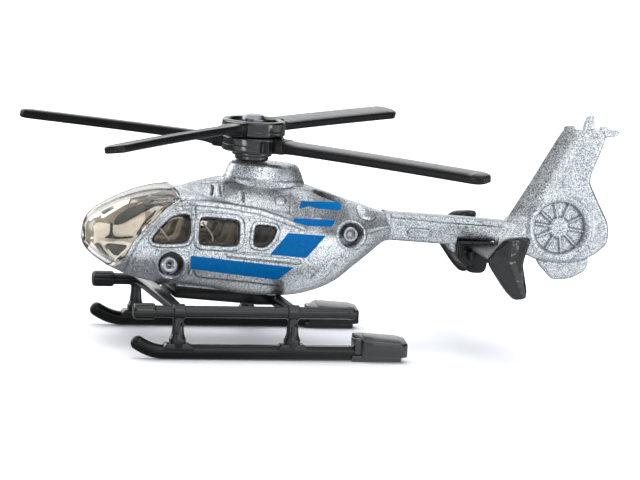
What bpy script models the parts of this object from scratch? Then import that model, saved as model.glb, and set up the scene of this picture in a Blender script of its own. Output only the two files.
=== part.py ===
"""Pocket-size helicopter scale model: die-cast two-half body, clear nose
bubble, moulded undercarriage and two free-turning two-blade rotors.

Frame: metres, +Z up, +X towards the tail, the port side faces -Y.  The origin
is the centre of the bounding box on the ground plane; the skid soles are z = 0.
All lengths below are millimetres, with x counted from the rotor mast, and
pt() turns them into the frame.
"""
import math

import bmesh
import bpy
from mathutils import Matrix, Vector

MM = 0.001

# ---------------------------------------------------------------- dimensions
MAST_X = -12.72            # mast position along x in the part's frame
GAP = 0.06                 # clearance between neighbouring pieces

# body lines: (x, height) and (x, half-width)
KEEL = [(-25.2, 15.6), (-24.9, 14.5), (-23.8, 13.1), (-22.4, 12.1), (-20.6, 11.1),
        (-17.5, 9.9), (-13.0, 9.05), (-7.0, 8.4), (-2.2, 7.65), (1.7, 7.4),
        (5.6, 7.55), (9.4, 8.35), (12.2, 9.55), (15.0, 11.7), (17.8, 13.85),
        (19.7, 15.3), (20.7, 15.75)]
CROWN = [(-25.2, 16.0), (-25.0, 17.5), (-24.4, 18.85), (-23.1, 20.05), (-21.2, 21.1),
         (-18.7, 22.15), (-16.2, 22.95), (-13.6, 23.4), (-11.9, 23.5), (-10.4, 23.75),
         (-8.4, 24.2), (-5.9, 24.4), (-3.0, 24.45), (1.0, 24.35), (7.0, 24.0),
         (9.0, 23.55), (13.7, 22.15), (16.6, 21.25), (18.6, 20.5), (20.7, 19.8)]
WAIST = [(-25.2, 15.8), (-22.0, 15.2), (-17.0, 14.7), (-10.0, 14.5), (4.0, 14.5),
         (8.0, 14.9), (12.0, 15.7), (16.0, 16.8), (20.7, 17.8)]
HALF_WIDTH = [(-25.2, 0.4), (-24.9, 2.1), (-24.0, 4.1), (-22.0, 6.0), (-20.0, 7.2),
              (-17.0, 8.5), (-13.0, 9.6), (-9.0, 10.1), (-4.0, 10.3), (4.0, 10.2),
              (8.0, 9.6), (12.0, 8.3), (16.0, 6.3), (19.0, 4.0), (20.7, 2.7)]
SHOULDER_Y = [(-25.2, 0.3), (-12.0, 6.8), (-5.5, 7.1), (-2.5, 7.6), (0.0, 8.1), (2.4, 8.6),
              (4.8, 9.0), (8.0, 9.0), (12.0, 7.9), (16.0, 6.0), (20.7, 2.6)]
SHOULDER_Z = [(-25.2, 16.0), (-12.0, 22.0), (-9.0, 22.05), (-5.5, 21.85), (-2.5, 21.4),
              (0.0, 21.0), (2.4, 20.3), (4.8, 19.5), (8.0, 18.3), (12.0, 17.6),
              (16.0, 17.5), (20.7, 18.0)]
DECK_FLAT = [(-12.0, 0.6), (-8.5, 1.6), (-6.5, 3.0), (-4.5, 4.1), (0.0, 5.0), (6.0, 5.0),
             (10.0, 4.2), (14.0, 2.6), (20.7, 1.2)]
NOSE_X, BODY_END_X = -25.2, 20.7
DECK_FRONT_X = -12.0
WALL = 1.25                # casting thickness round the cabin
FLOOR_Z = 13.6             # top of the solid lower casting
CABIN_END_X = 6.0

# line along which the clear bubble meets the casting, seen from the side
SCREEN_LINE = [(-11.7, 27.0), (-11.9, 22.5), (-14.4, 20.85), (-16.1, 19.2), (-17.55, 17.7),
               (-18.8, 16.25), (-19.6, 14.6), (-20.3, 12.9), (-21.1, 11.3), (-22.4, 8.0)]
CANOPY_WALL = 1.1

# door and cabin windows, side outlines (x, z)
FRONT_WINDOW = [(-16.7, 16.5), (-16.2, 17.5), (-15.3, 18.6), (-14.0, 19.7), (-12.5, 20.2),
                (-11.4, 20.3), (-10.9, 19.8), (-10.8, 17.4), (-11.2, 16.2), (-12.4, 15.9),
                (-16.2, 16.0)]
MID_WINDOW = [(-9.7, 16.4), (-9.75, 19.5), (-9.2, 20.0), (-4.4, 19.7), (-3.8, 19.2),
              (-3.75, 16.4), (-4.3, 15.9), (-9.2, 15.95)]
REAR_WINDOW = [(-1.5, 16.1), (-1.45, 19.0), (1.3, 18.9), (1.8, 18.4), (1.5, 17.1),
               (0.3, 15.8), (-0.9, 15.75)]

FRONT_RIVET = (-13.6, 12.65)     # x, z of the cross rivets
REAR_RIVET = (13.8, 17.3)
RIVET_SHANK_R = 0.9
RIVET_HEAD_R = 1.3
COUNTERBORE_R = 1.95
RECESS = 1.3

# rotor
HUB_X, HUB_Z = -0.1, 31.05       # point on the mast axis between the discs
MAST_TILT = 1.5                  # degrees, top leaning towards the tail
DISC_R = 4.7
DISC_H = 2.3
DISC_GAP = 0.08
PIN_R = 1.0
PIN_HEAD_R = 2.0
BORE_CLEAR = 0.06
COLLAR_R = 2.5
BLADE_R = 40.4
BLADE_CHORD = 3.6
BLADE_T = 1.3
BLADE_PITCH = 11.0
LOWER_AZ = -43.1
UPPER_AZ = 46.9

# fairing under the mast
FAIRING_X = 1.75
FAIRING_BASE = (5.95, 4.5)
FAIRING_TOP = (4.85, 3.7)
FAIRING_TOP_Z = 27.25

# tail
BOOM_START_X, BOOM_END_X = 20.8, 39.6
BOOM_HALF = 1.9
BOOM_TOP = [(20.8, 20.0), (30.0, 19.5), (39.6, 18.85)]
BOOM_BOTTOM = [(20.8, 15.85), (30.3, 15.2), (39.6, 14.6)]
NOTCH = (31.2, 37.6)             # recess for the stabiliser, x range
FIN_HALF = 1.2
FIN = [(38.9, 19.2), (42.4, 24.9), (45.8, 30.8), (46.6, 32.0), (47.1, 32.7), (53.3, 32.7),
       (53.4, 31.4), (52.9, 29.8), (51.3, 25.9), (51.25, 24.8), (52.6, 22.1), (54.2, 19.1),
       (54.55, 17.4), (54.3, 15.8), (52.7, 14.1), (50.8, 13.2), (48.2, 12.7), (45.4, 12.9),
       (43.7, 13.15), (42.2, 13.7), (39.2, 15.0)]
SKEG_HALF = 0.6
SKEG = [(43.6, 13.4), (43.9, 12.8), (45.8, 10.6), (46.3, 10.15), (49.0, 10.25), (50.3, 10.7),
        (51.3, 11.6), (51.7, 13.0), (51.4, 13.9)]
FAN_X, FAN_Z, FAN_R, FAN_HUB_R = 47.0, 17.95, 3.9, 1.45
FAN_DEPTH = 0.75
SPOKES = 10

# stabiliser and its end plates
WING_X = (32.6, 37.2)
WING_Z = 15.05
WING_T = 1.0
PLATE_Y = 15.6
PLATE_T = 1.3
PLATE = [(32.15, 14.95), (33.5, 16.9), (35.0, 18.5), (38.4, 18.65), (38.8, 17.9), (37.8, 14.7),
         (38.2, 12.6), (38.55, 10.7), (38.45, 9.4), (36.7, 9.15), (35.4, 10.5)]

# undercarriage
TRACK = 15.9                     # skid centre line from the middle
SKID_R = 1.05
SKID_TIP_X = -19.4
SKID_STRAIGHT_X = -15.3
HEEL_X = (12.6, 20.7)
RAIL_Z, RAIL_R = 7.0, 0.875
RAIL_X = (-20.2, 12.8)
CAP_R, CAP_END_X = 1.2, -17.1
STRUT_X = (-13.1, 4.0)
STRUT_R = 0.8
COLLAR_OUT_R = 1.1
PLATE_X = (-11.9, 2.95)


# ------------------------------------------------------------------- helpers
def pt(x, y, z):
    return Vector(((x + MAST_X) * MM, y * MM, z * MM))


def hermite(table, x):
    """Smooth monotone curve through a table of (x, value) pairs."""
    n = len(table)
    if x <= table[0][0]:
        return table[0][1]
    if x >= table[-1][0]:
        return table[-1][1]
    i = max(k for k in range(n - 1) if table[k][0] <= x)

    def slope(k):
        return (table[k + 1][1] - table[k][1]) / (table[k + 1][0] - table[k][0])

    def tangent(k):
        if k == 0:
            return slope(0)
        if k == n - 1:
            return slope(n - 2)
        a, b = slope(k - 1), slope(k)
        if a * b <= 0.0:
            return 0.0
        ha, hb = table[k][0] - table[k - 1][0], table[k + 1][0] - table[k][0]
        return (ha + hb) * 3.0 / ((2 * hb + ha) / a + (hb + 2 * ha) / b)

    x0, y0 = table[i]
    x1, y1 = table[i + 1]
    h = x1 - x0
    t = (x - x0) / h
    return ((2 * t ** 3 - 3 * t ** 2 + 1) * y0 + (t ** 3 - 2 * t ** 2 + t) * h * tangent(i)
            + (-2 * t ** 3 + 3 * t ** 2) * y1 + (t ** 3 - t ** 2) * h * tangent(i + 1))


def body_radius(x, angle, inset=0.0):
    """Distance from the waist line to the skin in the section at x."""
    c, s = max(math.cos(angle), 1e-6), math.sin(angle)
    zc = hermite(WAIST, x)
    w = max(hermite(HALF_WIDTH, x) - inset, 0.15)
    if s < 0.0:
        h = max(zc - hermite(KEEL, x) - inset, 0.15)
        n = 2.4
        return ((c / w) ** n + (-s / h) ** n) ** (-1.0 / n)
    top = max(hermite(CROWN, x) - zc - inset, 0.15)
    n = 2.0 + 0.9 * min(max((x + 25.2) / 13.0, 0.0), 1.0)
    if x <= DECK_FRONT_X:
        return ((c / w) ** n + (s / top) ** n) ** (-1.0 / n)
    # main shell passes through the shoulder; the deck is a soft trapezoid on it
    ys = min(hermite(SHOULDER_Y, x) - inset, 0.97 * w)
    zs = hermite(SHOULDER_Z, x) - zc - 0.6 * inset
    h = zs / (1.0 - (ys / w) ** n) ** (1.0 / n)
    h = min(h, top)
    main = ((c / w) ** n + (s / h) ** n) ** (-1.0 / n)
    a = max(hermite(DECK_FLAT, x) - 0.4 * inset, 0.2)
    nx, nz = top - zs, ys - a
    size = math.hypot(nx, nz)
    nx, nz = nx / size, nz / size
    dist = nx * a + nz * top
    p = 9.0 - 4.0 * min(max((x - 8.0) / 6.0, 0.0), 1.0)
    side = max(nx * c + nz * s, 1e-6) / dist
    deck = (((s / top) ** p + side ** p + (c / w) ** p)) ** (-1.0 / p)
    blend = min(max((x - DECK_FRONT_X) / 1.5, 0.0), 1.0)
    return main + max(deck - main, 0.0) * blend


def body_section(x, count, inset=0.0):
    """Half section (y >= 0) from keel to crown."""
    zc = hermite(WAIST, x)
    w = hermite(HALF_WIDTH, x)
    low = zc - hermite(KEEL, x)
    high = hermite(CROWN, x) - zc
    ring = []
    for i in range(count + 1):
        t = -math.pi / 2 + math.pi * i / count
        angle = math.atan2((low if t < 0 else high) * math.sin(t), w * math.cos(t))
        r = body_radius(x, angle, inset)
        y = 0.0 if i in (0, count) else r * math.cos(angle)
        ring.append((x, y, zc + r * math.sin(angle)))
    return ring


def stations(x0, x1, count, power=1.0):
    return [x0 + (x1 - x0) * (i / count) ** power for i in range(count + 1)]


def material(name, colour, roughness, metallic, alpha=1.0):
    mat = bpy.data.materials.new(name)
    mat.use_nodes = True
    shader = mat.node_tree.nodes["Principled BSDF"]
    shader.inputs["Base Color"].default_value = (*colour, 1.0)
    shader.inputs["Roughness"].default_value = roughness
    shader.inputs["Metallic"].default_value = metallic
    shader.inputs["Alpha"].default_value = alpha
    mat.diffuse_color = (*colour, alpha)
    return mat


def link(obj, collection):
    collection.objects.link(obj)
    return obj


def mesh_object(name, bm, origin, collection, mat=None, smooth=35.0):
    """Turn a bmesh in frame coordinates into an object with its own origin."""
    bmesh.ops.recalc_face_normals(bm, faces=bm.faces)
    bmesh.ops.translate(bm, verts=bm.verts, vec=-origin)
    mesh = bpy.data.meshes.new(name)
    bm.to_mesh(mesh)
    bm.free()
    obj = bpy.data.objects.new(name, mesh)
    obj.location = origin
    if mat is not None:
        mesh.materials.append(mat)
        mesh.shade_smooth()
        mesh.set_sharp_from_angle(angle=math.radians(smooth))
    return link(obj, collection)


def loft(rings):
    """Closed body through rings of equal length, capped at both ends."""
    bm = bmesh.new()
    rows = [[bm.verts.new(pt(*p)) for p in ring] for ring in rings]
    n = len(rings[0])
    for a, b in zip(rows, rows[1:]):
        for i in range(n):
            j = (i + 1) % n
            bm.faces.new((a[i], a[j], b[j], b[i]))
    bm.faces.new(rows[0][::-1])
    bm.faces.new(rows[-1])
    return bm


def prism(outline, y0, y1):
    """Side outline (x, z) extruded from y0 to y1."""
    bm = bmesh.new()
    face = bm.faces.new([bm.verts.new(pt(x, y0, z)) for x, z in outline])
    made = bmesh.ops.extrude_face_region(bm, geom=[face])
    verts = [g for g in made["geom"] if isinstance(g, bmesh.types.BMVert)]
    bmesh.ops.translate(bm, verts=verts, vec=Vector((0.0, (y1 - y0) * MM, 0.0)))
    return bm


def box(x0, x1, y0, y1, z0, z1):
    bm = bmesh.new()
    bmesh.ops.create_cube(bm, size=1.0)
    low, high = pt(x0, y0, z0), pt(x1, y1, z1)
    for v in bm.verts:
        v.co = Vector([(low[k] + high[k]) / 2 + v.co[k] * (high[k] - low[k]) for k in range(3)])
    return bm


def cylinder(centre, axis, r0, r1, length, segments=20):
    """Closed cylinder or cone along axis, centred on a point in mm."""
    bm = bmesh.new()
    bmesh.ops.create_cone(bm, cap_ends=True, segments=segments, radius1=r0 * MM,
                          radius2=r1 * MM, depth=length * MM)
    turn = Vector((0, 0, 1)).rotation_difference(Vector(axis).normalized()).to_matrix().to_4x4()
    bmesh.ops.transform(bm, matrix=Matrix.Translation(pt(*centre)) @ turn, verts=bm.verts)
    return bm


def ball(centre, radii, u=12, v=8):
    bm = bmesh.new()
    bmesh.ops.create_uvsphere(bm, u_segments=u, v_segments=v, radius=MM)
    bmesh.ops.scale(bm, vec=Vector(radii), verts=bm.verts)
    bmesh.ops.translate(bm, vec=pt(*centre), verts=bm.verts)
    return bm


def boolean(obj, tool, operation):
    mod = obj.modifiers.new(operation.lower() + "_" + tool.name, "BOOLEAN")
    mod.operation = operation
    mod.object = tool
    mod.solver = "EXACT"
    return obj


def bevel(obj, width, segments=2, angle=40.0):
    mod = obj.modifiers.new("rounded_edges", "BEVEL")
    mod.width = width * MM
    mod.segments = segments
    mod.limit_method = "ANGLE"
    mod.angle_limit = math.radians(angle)
    return obj


# ---------------------------------------------------------------- the object
def build():
    for old in list(bpy.data.objects):
        bpy.data.objects.remove(old, do_unlink=True)
    scene = bpy.context.scene
    parts = bpy.data.collections.new("helicopter_scale_model")
    tools = bpy.data.collections.new("cutters")
    scene.collection.children.link(parts)
    scene.collection.children.link(tools)
    tools.hide_render = True

    silver = (0.47, 0.49, 0.53)
    black = (0.016, 0.016, 0.019)
    counter = {"n": 0}

    def paint(name, colour=silver, roughness=0.35, metallic=0.75, alpha=1.0):
        return material(name, colour, roughness, metallic, alpha)

    def plastic(name):
        return material(name, black, 0.38, 0.0)

    def tool(bm, label="tool"):
        counter["n"] += 1
        obj = mesh_object("%s_%02d" % (label, counter["n"]), bm, Vector((0, 0, 0)), tools)
        obj.hide_render = True
        obj.display_type = "WIRE"
        return obj

    def cut(obj, bm, label="cut"):
        return boolean(obj, tool(bm, label), "DIFFERENCE")

    def add(obj, bm, label="add"):
        return boolean(obj, tool(bm, label), "UNION")

    # the whole outer form, used to fit pieces that sit against the body
    def whole_body(x0, x1, count, ring_count, inset, power=1.0):
        rings = []
        for x in stations(x0, x1, count, power):
            half = body_section(x, ring_count, inset)
            rings.append(half + [(px, -py, pz) for px, py, pz in half[-2:0:-1]])
        return loft(rings)

    # ------------------------------------------------- body halves
    ahead = [(-30.0, 5.0), (-30.0, 30.0)]
    cabin_void = tool(whole_body(-24.0, CABIN_END_X, 12, 10, WALL), "cabin_void")
    cut(cabin_void, box(-40.0, 20.0, -15.0, 15.0, 0.0, FLOOR_Z), "below_floor")
    for side, label in ((-1, "left"), (1, "right")):
        rings = []
        xs = stations(-23.0, BODY_END_X, 20)
        for x in xs:
            half = body_section(x, 13)
            rings.append([(px, side * max(py, GAP / 2), pz) for px, py, pz in half])
        name = "fuselage_%s_half" % label
        half_body = mesh_object(name, loft(rings), pt(0, 0, FLOOR_Z), parts, paint(name))
        boolean(half_body, cabin_void, "DIFFERENCE")
        cut(half_body, prism(SCREEN_LINE + ahead, -13.0, 13.0), "screen")
        for outline in (FRONT_WINDOW, MID_WINDOW, REAR_WINDOW):
            cut(half_body, prism(outline, side * 4.0, side * 13.0), "window")
        for rx, rz in (FRONT_RIVET, REAR_RIVET):
            cut(half_body, cylinder((rx, 0, rz), (0, 1, 0), RIVET_SHANK_R + GAP,
                                    RIVET_SHANK_R + GAP, 30.0, 14), "rivet_hole")
        for (rx, rz), skin in ((FRONT_RIVET, 9.1), (REAR_RIVET, 7.3)):
            depth = 6.0
            cut(half_body, cylinder((rx, side * (skin - RECESS + depth / 2), rz), (0, 1, 0),
                                    COUNTERBORE_R, COUNTERBORE_R, depth, 20), "counterbore")
        cut(half_body, cylinder((HUB_X - 0.18, 0, 24.2), (0, 0, 1), PIN_R + GAP, PIN_R + GAP,
                                1.8, 14), "pin_hole")
        cut(half_body, box(16.4, 22.0, -1.1 - GAP, 1.1 + GAP, 16.8 - GAP, 18.8 + GAP), "spigot")
        blister = ball((16.4, side * 2.95, 19.95), (1.65, 0.95, 1.1))
        add(half_body, blister, "exhaust")

    # ------------------------------------------------- canopy bubble
    canopy = mesh_object("canopy_glazing", whole_body(NOSE_X, -11.0, 11, 11, 0.0, 1.55),
                         pt(-20, 0, 16), parts,
                         paint("canopy_glazing", (0.86, 0.84, 0.78), 0.05, 0.0, 0.35))
    cut(canopy, whole_body(NOSE_X + 1.0, -9.0, 9, 9, CANOPY_WALL, 1.3), "canopy_inside")
    behind = [(x + 2 * GAP * -0.5 - 0.03, z) for x, z in SCREEN_LINE]
    cut(canopy, prism(behind + [(0.0, 8.0), (0.0, 27.0)], -13.0, 13.0), "canopy_rear")

    # ------------------------------------------------- side windows
    liner = tool(whole_body(-24.0, CABIN_END_X, 12, 10, WALL + 0.16), "liner")
    for side, label in ((-1, "left"), (1, "right")):
        rows = []
        name = "side_window_%s" % label
        for x in stations(-16.9, 2.9, 10):
            zc = hermite(WAIST, x)
            outer, inner = [], []
            for k in range(6):
                ceiling = 20.6 - 0.45 * max(-13.0 - x, 0.0) - 0.3 * max(x + 4.0, 0.0)
                z = 15.0 + (ceiling - 15.0) * k / 5.0
                lo_a, hi_a = 0.0, math.pi / 2
                for _ in range(30):
                    mid = (lo_a + hi_a) / 2
                    if body_radius(x, mid, WALL) * math.sin(mid) + zc < z:
                        lo_a = mid
                    else:
                        hi_a = mid
                y = body_radius(x, lo_a, WALL) * math.cos(lo_a)
                outer.append((x, side * (y + 0.4), z))
                inner.append((x, side * (y - 0.8), z))
            rows.append(outer + inner[::-1])
        strip = mesh_object(name, loft(rows), pt(-7, side * 8, 18), parts,
                            paint(name, (0.62, 0.60, 0.55), 0.06, 0.0, 0.35))
        boolean(strip, liner, "INTERSECT")

    # ------------------------------------------------- cabin moulding
    cabin = mesh_object("cabin_interior", box(-18.2, 4.0, -6.2, 6.2, FLOOR_Z + GAP, 14.5),
                        pt(-7, 0, 14), parts, paint("cabin_interior", (0.42, 0.38, 0.32), 0.6, 0.0))
    add(cabin, box(-18.9, -17.2, -4.6, 4.6, FLOOR_Z + 2 * GAP, 17.0), "panel")
    for y in (-3.2, 3.2):
        add(cabin, prism([(-14.6, 14.2), (-14.4, 16.2), (-11.7, 16.0), (-10.3, 20.0),
                          (-9.3, 19.8), (-10.2, 14.2)], y - 1.8, y + 1.8), "seat")
    add(cabin, prism([(-4.6, 14.2), (-4.4, 16.2), (-1.6, 16.1), (-0.2, 19.2), (0.8, 19.0),
                      (0.2, 14.2)], -5.0, 5.0), "bench")

    # ------------------------------------------------- cross rivets
    for name, (rx, rz), skin in (("front_rivet", FRONT_RIVET, 9.1),
                                 ("rear_rivet", REAR_RIVET, 7.3)):
        rivet = mesh_object(name, cylinder((rx, 0, rz), (0, 1, 0), RIVET_SHANK_R,
                                           RIVET_SHANK_R, 2 * (skin - RECESS) + 0.4, 14),
                            pt(rx, 0, rz), parts, paint(name, (0.72, 0.72, 0.74), 0.3, 1.0))
        for side in (-1, 1):
            add(rivet, cylinder((rx, side * (skin - RECESS + GAP + 0.3), rz), (0, side, 0),
                                RIVET_HEAD_R, RIVET_HEAD_R - 0.3, 0.6, 20), "head")

    # ------------------------------------------------- fairing under the mast
    rings = []
    for t, z in ((0.0, 22.6), (0.32, 24.9), (0.9, 26.75), (1.0, 27.1), (1.14, 27.25)):
        ring = []
        for i in range(28):
            a = 2 * math.pi * i / 28
            rx = FAIRING_BASE[0] + (FAIRING_TOP[0] - FAIRING_BASE[0]) * t
            ry = FAIRING_BASE[1] + (FAIRING_TOP[1] - FAIRING_BASE[1]) * t
            x = FAIRING_X + rx * math.cos(a)
            ring.append((x, ry * math.sin(a), z - 0.035 * (x - FAIRING_X) * min(t * 2, 1.0)))
        rings.append(ring)
    fairing = mesh_object("mast_fairing", loft(rings), pt(FAIRING_X, 0, 24.5), parts,
                          paint("mast_fairing"))
    cut(fairing, whole_body(-12.0, 16.0, 20, 16, -GAP), "roof")
    hole = cylinder((HUB_X - 0.13, 0, 26.0), (math.sin(math.radians(MAST_TILT)), 0,
                                              math.cos(math.radians(MAST_TILT))),
                    PIN_R + 2 * GAP, PIN_R + 2 * GAP, 6.0, 16)
    cut(fairing, hole, "pin_way")

    # ------------------------------------------------- tail boom and fin
    rings = []
    for x in stations(BOOM_START_X, BOOM_END_X, 10):
        top, low = hermite(BOOM_TOP, x), hermite(BOOM_BOTTOM, x)
        half = BOOM_HALF - 0.35 * (x - BOOM_START_X) / 20.0
        zc, hh = (top + low) / 2, (top - low) / 2
        ring = []
        for i in range(16):
            a = 2 * math.pi * (i + 0.5) / 16
            c, s = math.cos(a), math.sin(a)
            r = (abs(c) ** 3.5 + abs(s) ** 3.5) ** (-1 / 3.5)
            ring.append((x, half * r * c, zc + hh * r * s))
        rings.append(ring)
    tail = mesh_object("tail_boom_fin", loft(rings), pt(30, 0, 17.5), parts,
                       paint("tail_boom_fin"))
    cut(tail, box(NOTCH[0], NOTCH[1] + 0.6, -3, 3, 12.0, 16.0), "stabiliser_seat")
    add(tail, box(30.3, 31.15, -1.2, 1.2, 14.5, 17.0), "lug")
    add(tail, box(16.7, 22.4, -1.1, 1.1, 16.8, 18.8), "spigot")
    fin_bm = prism(FIN, -FIN_HALF, FIN_HALF)
    add(tail, fin_bm, "fin")
    add(tail, prism(SKEG, -SKEG_HALF, SKEG_HALF), "skeg")
    add(tail, prism([(50.2, 32.4), (50.6, 34.6), (51.0, 34.85), (51.8, 34.8), (51.9, 32.4)],
                    -0.45, 0.45), "aerial")
    add(tail, prism([(52.4, 31.7), (52.4, 32.55), (55.4, 32.6), (55.75, 32.2), (55.5, 31.7)],
                    -0.5, 0.5), "tail_arm")
    for side in (-1, 1):
        cut(tail, cylinder((FAN_X, side * (FIN_HALF + 1.0 - FAN_DEPTH), FAN_Z), (0, 1, 0), FAN_R,
                           FAN_R, 2.0, 32), "fan_recess")
        add(tail, cylinder((FAN_X, side * (FIN_HALF - FAN_DEPTH + 0.2), FAN_Z), (0, side, 0),
                           FAN_HUB_R, FAN_HUB_R * 0.8, 0.9, 16), "fan_hub")
        for k in range(SPOKES):
            a = math.radians(-8.0 + 360.0 * k / SPOKES)
            spoke = bmesh.new()
            bmesh.ops.create_cube(spoke, size=1.0)
            length = FAN_R - 0.9
            bmesh.ops.scale(spoke, vec=Vector((length * MM, 0.55 * MM, 0.4 * MM)),
                            verts=spoke.verts)
            move = (Matrix.Translation(pt(FAN_X, side * (FIN_HALF - FAN_DEPTH + 0.05), FAN_Z))
                    @ Matrix.Rotation(a, 4, "Y")
                    @ Matrix.Translation(Vector(((0.9 + length / 2 + 0.05) * MM, 0, 0))))
            bmesh.ops.transform(spoke, matrix=move, verts=spoke.verts)
            add(tail, spoke, "spoke")

    # ------------------------------------------------- stabiliser
    wing = []
    for y in (-PLATE_Y + PLATE_T / 2 + GAP, -8.0, -2.0, 2.0, 8.0, PLATE_Y - PLATE_T / 2 - GAP):
        wing.append([(WING_X[0], y, WING_Z - 0.1), (WING_X[0] + 0.5, y, WING_Z + 0.45),
                     (WING_X[0] + 2.0, y, WING_Z + 0.5), (WING_X[1], y, WING_Z + 0.15),
                     (WING_X[1], y, WING_Z - 0.2), (WING_X[0] + 2.0, y, WING_Z - 0.5),
                     (WING_X[0] + 0.5, y, WING_Z - 0.45)])
    stabiliser = mesh_object("stabiliser", loft(wing), pt(34.5, 0, WING_Z), parts,
                             plastic("stabiliser"))
    add(stabiliser, prism([(31.35, 12.9), (31.35, 15.9), (36.4, 15.9), (36.9, 15.0), (36.2, 12.6),
                           (32.6, 12.35)], -2.3, 2.3), "saddle")
    add(stabiliser, cylinder((34.6, 0, 12.0), (0, 0, -1), 1.7, 1.25, 1.9, 16), "button")
    for side, label in ((-1, "left"), (1, "right")):
        name = "end_plate_%s" % label
        y0, y1 = side * (PLATE_Y - PLATE_T / 2), side * (PLATE_Y + PLATE_T / 2)
        plate = mesh_object(name, prism(PLATE, y0, y1), pt(35.5, side * PLATE_Y, 14.5), parts,
                            plastic(name))
        bevel(plate, 0.3, 1)

    # ------------------------------------------------- undercarriage
    def rounded_tube(name, points, radius, segments, mat):
        """Round bar through centre-line points (x, z) at one side."""
        rings = []
        for i, (x, y, z, r) in enumerate(points):
            before, after = points[max(i - 1, 0)], points[min(i + 1, len(points) - 1)]
            d = Vector((after[0] - before[0], 0.0, after[2] - before[2])).normalized()
            up = Vector((-d.z, 0.0, d.x))
            ring = []
            for k in range(segments):
                a = 2 * math.pi * k / segments
                ring.append((x + up.x * r * radius * math.cos(a), y + r * radius * math.sin(a),
                             z + up.z * r * radius * math.cos(a)))
            rings.append(ring)
        return mesh_object(name, loft(rings), pt(*points[0][:3]), parts, mat)

    for side, label in ((-1, "left"), (1, "right")):
        y = side * TRACK
        name = "skid_%s" % label
        path = []
        for k in range(7):
            t = k / 6.0
            x = SKID_STRAIGHT_X + (SKID_TIP_X - SKID_STRAIGHT_X) * (1 - t)
            z = SKID_R + 1.3 * (1 - t) ** 2
            path.append((x, y, z, 1.0))
        d = Vector((path[0][0] - path[1][0], 0, path[0][2] - path[1][2])).normalized() * SKID_R
        tip = [(path[0][0] + d.x * s, y, path[0][2] + d.z * s, q)
               for s, q in ((0.97, 0.25), (0.75, 0.66), (0.4, 0.92))]
        path = tip + path + [(HEEL_X[0] - GAP, y, SKID_R, 1.0)]
        rounded_tube(name, path, SKID_R, 14, plastic(name))

        name = "heel_block_%s" % label
        outer = side * (TRACK + 2.25)
        inner = side * (TRACK - 2.25)
        bm = bmesh.new()
        plan = [(HEEL_X[0], inner), (HEEL_X[0], side * TRACK), (14.3, outer), (HEEL_X[1], outer),
                (HEEL_X[1], inner)]
        low = [bm.verts.new(pt(x, py, 0.7)) for x, py in plan]
        high = [bm.verts.new(pt(x, py, 3.3 - 0.7 * (x - 12.6) / 8.1
                                - (0.35 if abs(py) > TRACK + 1 else 0.0))) for x, py in plan]
        bm.faces.new(low)
        bm.faces.new(high)
        for i in range(5):
            j = (i + 1) % 5
            bm.faces.new((low[i], low[j], high[j], high[i]))
        heel = mesh_object(name, bm, pt(16.6, y, 1.5), parts, plastic(name))
        add(heel, box(HEEL_X[0] + 0.05, 19.9, y - 1.3, y + 1.3, 0.0, 1.0), "sole")

        name = "step_rail_%s" % label
        ends = [(RAIL_X[0], 0.55), (RAIL_X[0] + 0.12, 1.0), (CAP_END_X, 1.0),
                (CAP_END_X + 0.15, RAIL_R / CAP_R), (RAIL_X[1] - 0.5, RAIL_R / CAP_R),
                (RAIL_X[1] - 0.12, 0.6), (RAIL_X[1], 0.3)]
        rounded_tube(name, [(x, y, RAIL_Z, q) for x, q in ends], CAP_R, 16, plastic(name))

        for sx, place in zip(STRUT_X, ("front", "rear")):
            name = "strut_%s_%s" % (place, label)
            strut = mesh_object(name, cylinder((sx, y, (1.6 + RAIL_Z) / 2), (0, 0, 1),
                                               STRUT_R + 0.05, STRUT_R, RAIL_Z - 1.6, 12),
                                pt(sx, y, RAIL_Z), parts, plastic(name))
            add(strut, cylinder((sx, y, RAIL_Z), (1, 0, 0), RAIL_R + 0.28, RAIL_R + 0.28, 1.7, 14),
                "collar")
            add(strut, cylinder((sx, y, 2.6), (0, 0, 1), 1.2, 1.0, 1.6, 12), "foot")
            add(strut, box(sx - 2.1, sx + 2.1, y - 0.95, y + 0.95, 1.3, 2.35), "saddle")
            cut(strut, cylinder((sx, y, RAIL_Z), (1, 0, 0), RAIL_R + GAP, RAIL_R + GAP, 6.0, 14),
                "rail_way")
            cut(strut, cylinder((sx, y, SKID_R), (1, 0, 0), SKID_R + GAP, SKID_R + GAP, 9.0, 14),
                "skid_way")

    reach = TRACK - RAIL_R - 0.28 - GAP
    for sx, name in zip(STRUT_X, ("front_cross_bar", "rear_cross_bar")):
        rings = []
        for y in (-reach, -12.0, -8.0, -5.0, 0.0, 5.0, 8.0, 12.0, reach):
            u = abs(y) / reach
            half = 1.15 - 0.3 * u
            mid = 7.15 + (0.25 if sx < 0 else -0.15) * (1 - u * u)
            rings.append([(sx - half, y, mid - 0.35), (sx - half, y, mid + 0.45),
                          (sx - half + 0.3, y, mid + 0.8), (sx + half - 0.3, y, mid + 0.8),
                          (sx + half, y, mid + 0.45), (sx + half, y, mid - 0.35),
                          (sx + half - 0.3, y, mid - 0.7), (sx - half + 0.3, y, mid - 0.7)])
        bar = mesh_object(name, loft(rings), pt(sx, 0, 7.2), parts, plastic(name))
        cut(bar, whole_body(-18.0, 8.0, 14, 16, -2 * GAP), "belly")

    plate = mesh_object("belly_plate", prism([(PLATE_X[0], 7.35), (PLATE_X[0], 10.5),
                                              (2.8, 10.5), (2.8, 6.4), (-2.0, 6.65)], -5.0, 5.0),
                        pt(-4.5, 0, 8), parts, plastic("belly_plate"))
    cut(plate, whole_body(-18.0, 8.0, 14, 16, -2 * GAP), "belly")

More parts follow.
